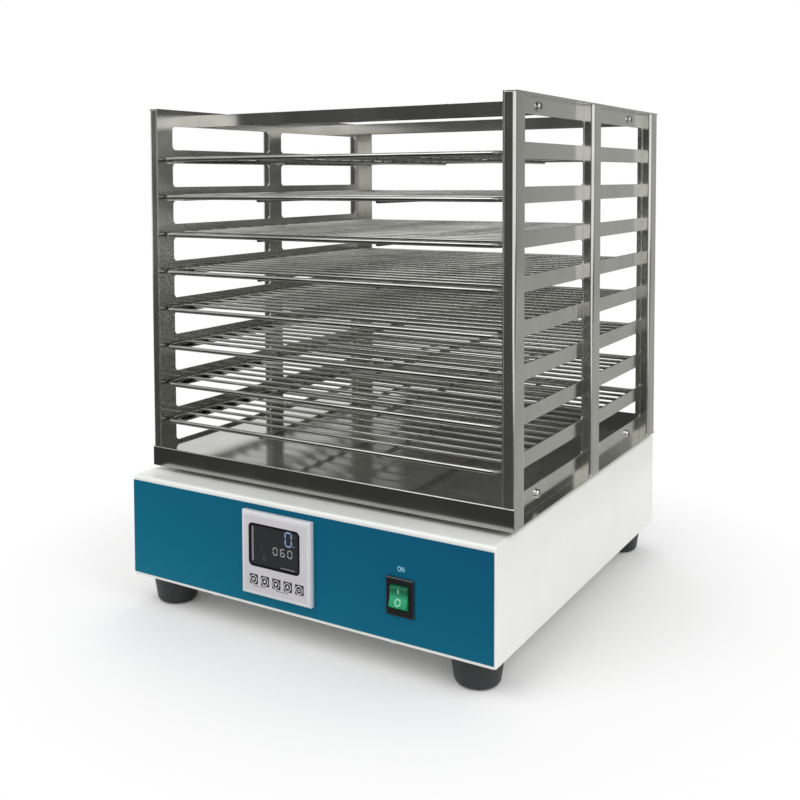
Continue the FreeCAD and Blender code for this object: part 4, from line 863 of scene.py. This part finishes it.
machined_aluminium = plain_finish(
    "machined_aluminium", dark=(0.66, 0.67, 0.68), light=(0.78, 0.79, 0.8),
    scale=120, relief=0.00002, edge=0.0004, stretch=(1, 14, 1), metallic=1, gloss=(0.3, 0.42),
)
coat_node("rod_supports", machined_aluminium)
coat_node("bearing_blocks", machined_aluminium)

# ---------------------------------------------------------------------------
# Drive: a gear motor on its bracket turns a disc whose pin and roller push
# the yoke under the tray from side to side.

motor_grey = plain_finish(
    "motor_grey", dark=(0.1, 0.1, 0.11), light=(0.16, 0.16, 0.17),
    scale=700, relief=0.00005, edge=0.0005, metallic=0.4, gloss=(0.4, 0.52),
)
coat_node("gear_motor", motor_grey)
drive_steel = plain_finish(
    "drive_steel", dark=(0.42, 0.42, 0.43), light=(0.55, 0.55, 0.55),
    scale=260, relief=0.00002, edge=0.0004, stretch=(1, 1, 8), metallic=1, gloss=(0.24, 0.36),
)
for node in ("motor_shaft", "crank_disc", "crank_pin", "crank_roller", "drive_yoke"):
    coat_node(node, drive_steel)

# ---------------------------------------------------------------------------
# Carriage: tray, two punched side sheets, six channel posts and two top
# bars, all of thin stainless sheet, folded and polished to a mirror.

polished_stainless = plain_finish(
    "polished_stainless", dark=(0.66, 0.66, 0.62), light=(0.76, 0.76, 0.72),
    scale=9, relief=0.0003, edge=0.0005, metallic=1, gloss=(0.1, 0.2),
)
for node in (
    "side_sheet_left",
    "side_sheet_right",
    "post_front_left",
    "post_middle_left",
    "post_rear_left",
    "post_front_right",
    "post_middle_right",
    "post_rear_right",
    "top_bar_front",
    "top_bar_rear",
):
    coat_node(node, polished_stainless)

# The tray's sheet is painted a little darker than the other stainless: painted shade for the dark
# studio its floor reflects
shaded_tray_stainless = plain_finish(
    "shaded_tray_stainless", dark=(0.4, 0.4, 0.375), light=(0.48, 0.48, 0.455),
    scale=9, relief=0.0002, edge=0.0005, metallic=1, gloss=(0.09, 0.16),
)
coat_node("carriage_tray", shaded_tray_stainless)

# ---------------------------------------------------------------------------
# Frame bolts: button head screws of bright stainless through the side sheets
# into the tray and the top bars, each with its nut inside.

bolt_stainless = plain_finish(
    "bolt_stainless", dark=(0.56, 0.56, 0.54), light=(0.68, 0.68, 0.66),
    scale=900, relief=0.00001, metallic=1, gloss=(0.16, 0.26),
)
bolts_low, bolts_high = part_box("frame_bolts")
tray_low, tray_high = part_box("carriage_tray")
carriage_x = (tray_low.x + tray_high.x) / 2
carriage_y = (tray_low.y + tray_high.y) / 2
head_out = bolts_high.x - carriage_x
head_thick, head_radius, head_dome = 0.0026, 0.00425, 0.0020
socket_rim, socket_depth = 0.0006, 0.0013
nut_thick, nut_radius, nut_edge = 0.0035, 0.0043, 0.0003
shank_radius, shank_edge = 0.0025, 0.0005
clamped = 0.0024  # two sheets between the head and the nut
shank_in = head_out - head_thick - clamped - nut_thick
bolt_spread = 0.117

bpy.ops.mesh.primitive_cylinder_add(
    vertices=40,
    radius=head_radius,
    depth=head_thick,
    location=(head_out - head_thick / 2, 0, 0),
    rotation=(0, math.radians(90), 0),
)
head = bpy.context.active_object
settle(head)
pick_edges(head, lambda p: p.x > head_out - 0.0001)
bpy.ops.mesh.bevel(offset=head_dome, segments=6, profile=0.5)
pick_faces(head, lambda f: f.normal.x > 0.99)
bpy.ops.mesh.inset(thickness=socket_rim)
bpy.ops.mesh.extrude_region_move(TRANSFORM_OT_translate={"value": (-socket_depth, 0, 0)})
bpy.ops.object.mode_set(mode="OBJECT")
bpy.ops.mesh.primitive_cylinder_add(
    vertices=20,
    radius=shank_radius,
    depth=head_out - head_thick - shank_in,
    location=((head_out - head_thick + shank_in) / 2, 0, 0),
    rotation=(0, math.radians(90), 0),
)
shank = bpy.context.active_object
settle(shank)
pick_edges(shank, lambda p: p.x < shank_in + 0.0001)
bpy.ops.mesh.bevel(offset=shank_edge, segments=2)
bpy.ops.object.mode_set(mode="OBJECT")
bpy.ops.mesh.primitive_cylinder_add(
    vertices=6,
    radius=nut_radius,
    depth=nut_thick,
    location=(shank_in + nut_thick / 2, 0, 0),
    rotation=(0, math.radians(90), 0),
)
nut = bpy.context.active_object
settle(nut)
pick_edges(nut, lambda p: True)
bpy.ops.mesh.bevel(offset=nut_edge, segments=2)
bpy.ops.object.mode_set(mode="OBJECT")
bolt = join_pieces([head, shank, nut])
bolt_heights = (bolts_low.z + head_radius, bolts_high.z - head_radius)
bolt_spots = itertools.product((0, 180), (-bolt_spread, bolt_spread), bolt_heights)
for number, (turn, y, z) in enumerate(bolt_spots, 1):
    spot = Matrix.Translation((carriage_x, carriage_y + y, z))
    twin = copy_piece(bolt, spot @ Matrix.Rotation(math.radians(turn), 4, "Z"))
    name = f"frame_bolt_{number}"
    dress(twin, name, bolt_stainless, "carriage", "bolt_stainless", "frame_bolts")
bpy.data.objects.remove(bolt)

# ---------------------------------------------------------------------------
# Wire shelves: round stainless wires spot welded across a bent outer wire,
# over two stays, and electropolished. Each shelf slides out to the front.

# Painted shade: the wires' stainless is tinted much darker, for the dark studio they reflect.
shelf_wire = plain_finish(
    "shelf_wire", dark=(0.27, 0.27, 0.255), light=(0.4, 0.4, 0.375),
    scale=180, relief=0.00003, metallic=1, gloss=(0.16, 0.28),
)
outer_radius, cross_radius, stay_radius = 0.0021, 0.0015, 0.0019
cross_rise = 0.0013
corner_round = 0.009
stay_spread = 0.061
cross_count, cross_first, cross_pitch = 16, 0.0284, 0.021
shelf_low, shelf_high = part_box("shelf_8")
half_width = (shelf_high.x - shelf_low.x) / 2 - outer_radius
half_depth = (shelf_high.y - shelf_low.y) / 2 - outer_radius

bpy.ops.mesh.primitive_plane_add(size=2, location=(0, 0, 0))
outer_wire = bpy.context.active_object
outer_wire.data.transform(Matrix.Diagonal((half_width, half_depth, 1, 1)))
start_edit(outer_wire, "VERT")
bpy.ops.object.mode_set(mode="EDIT")
bpy.ops.mesh.select_all(action="SELECT")
bpy.ops.mesh.bevel(offset=corner_round, segments=8, affect="VERTICES")
bpy.ops.mesh.select_all(action="SELECT")
bpy.ops.mesh.delete(type="ONLY_FACE")
bpy.ops.object.mode_set(mode="OBJECT")
bpy.ops.object.convert(target="CURVE")
outer_wire = bpy.context.active_object
outer_wire.data.bevel_depth = outer_radius
outer_wire.data.bevel_resolution = 4
bpy.ops.object.convert(target="MESH")
outer_wire = bpy.context.active_object
settle(outer_wire)


def add_wire(radius, long, place, turn):
    """A straight round wire with rounded ends."""
    bpy.ops.mesh.primitive_cylinder_add(
        vertices=12, radius=radius, depth=long, location=place, rotation=turn
    )
    wire = bpy.context.active_object
    settle(wire)
    pick_faces(wire, lambda f: len(f.vertices) > 4)
    bpy.ops.mesh.bevel(offset=radius * 0.5, segments=2)
    bpy.ops.object.mode_set(mode="OBJECT")
    return wire


wires = [outer_wire]
stay_rise = cross_rise - cross_radius - stay_radius
quarter = math.radians(90)
for x in (-stay_spread, stay_spread):
    wires.append(add_wire(stay_radius, 2 * half_depth, (x, 0, stay_rise), (quarter, 0, 0)))
for step in range(cross_count):
    y = -half_depth + cross_first + cross_pitch * step
    wires.append(add_wire(cross_radius, 2 * half_width, (0, y, cross_rise), (0, quarter, 0)))
shelf = join_pieces(wires)
for number in range(1, 9):
    low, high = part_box(f"shelf_{number}")
    spot = ((low.x + high.x) / 2, (low.y + high.y) / 2, high.z - cross_rise - cross_radius)
    twin = copy_piece(shelf, Matrix.Translation(spot))
    name, rack = f"wire_shelf_{number}", f"rack_{number}"
    dress(twin, name, shelf_wire, rack, "shelf_wire", f"shelf_{number}")
bpy.data.objects.remove(shelf)
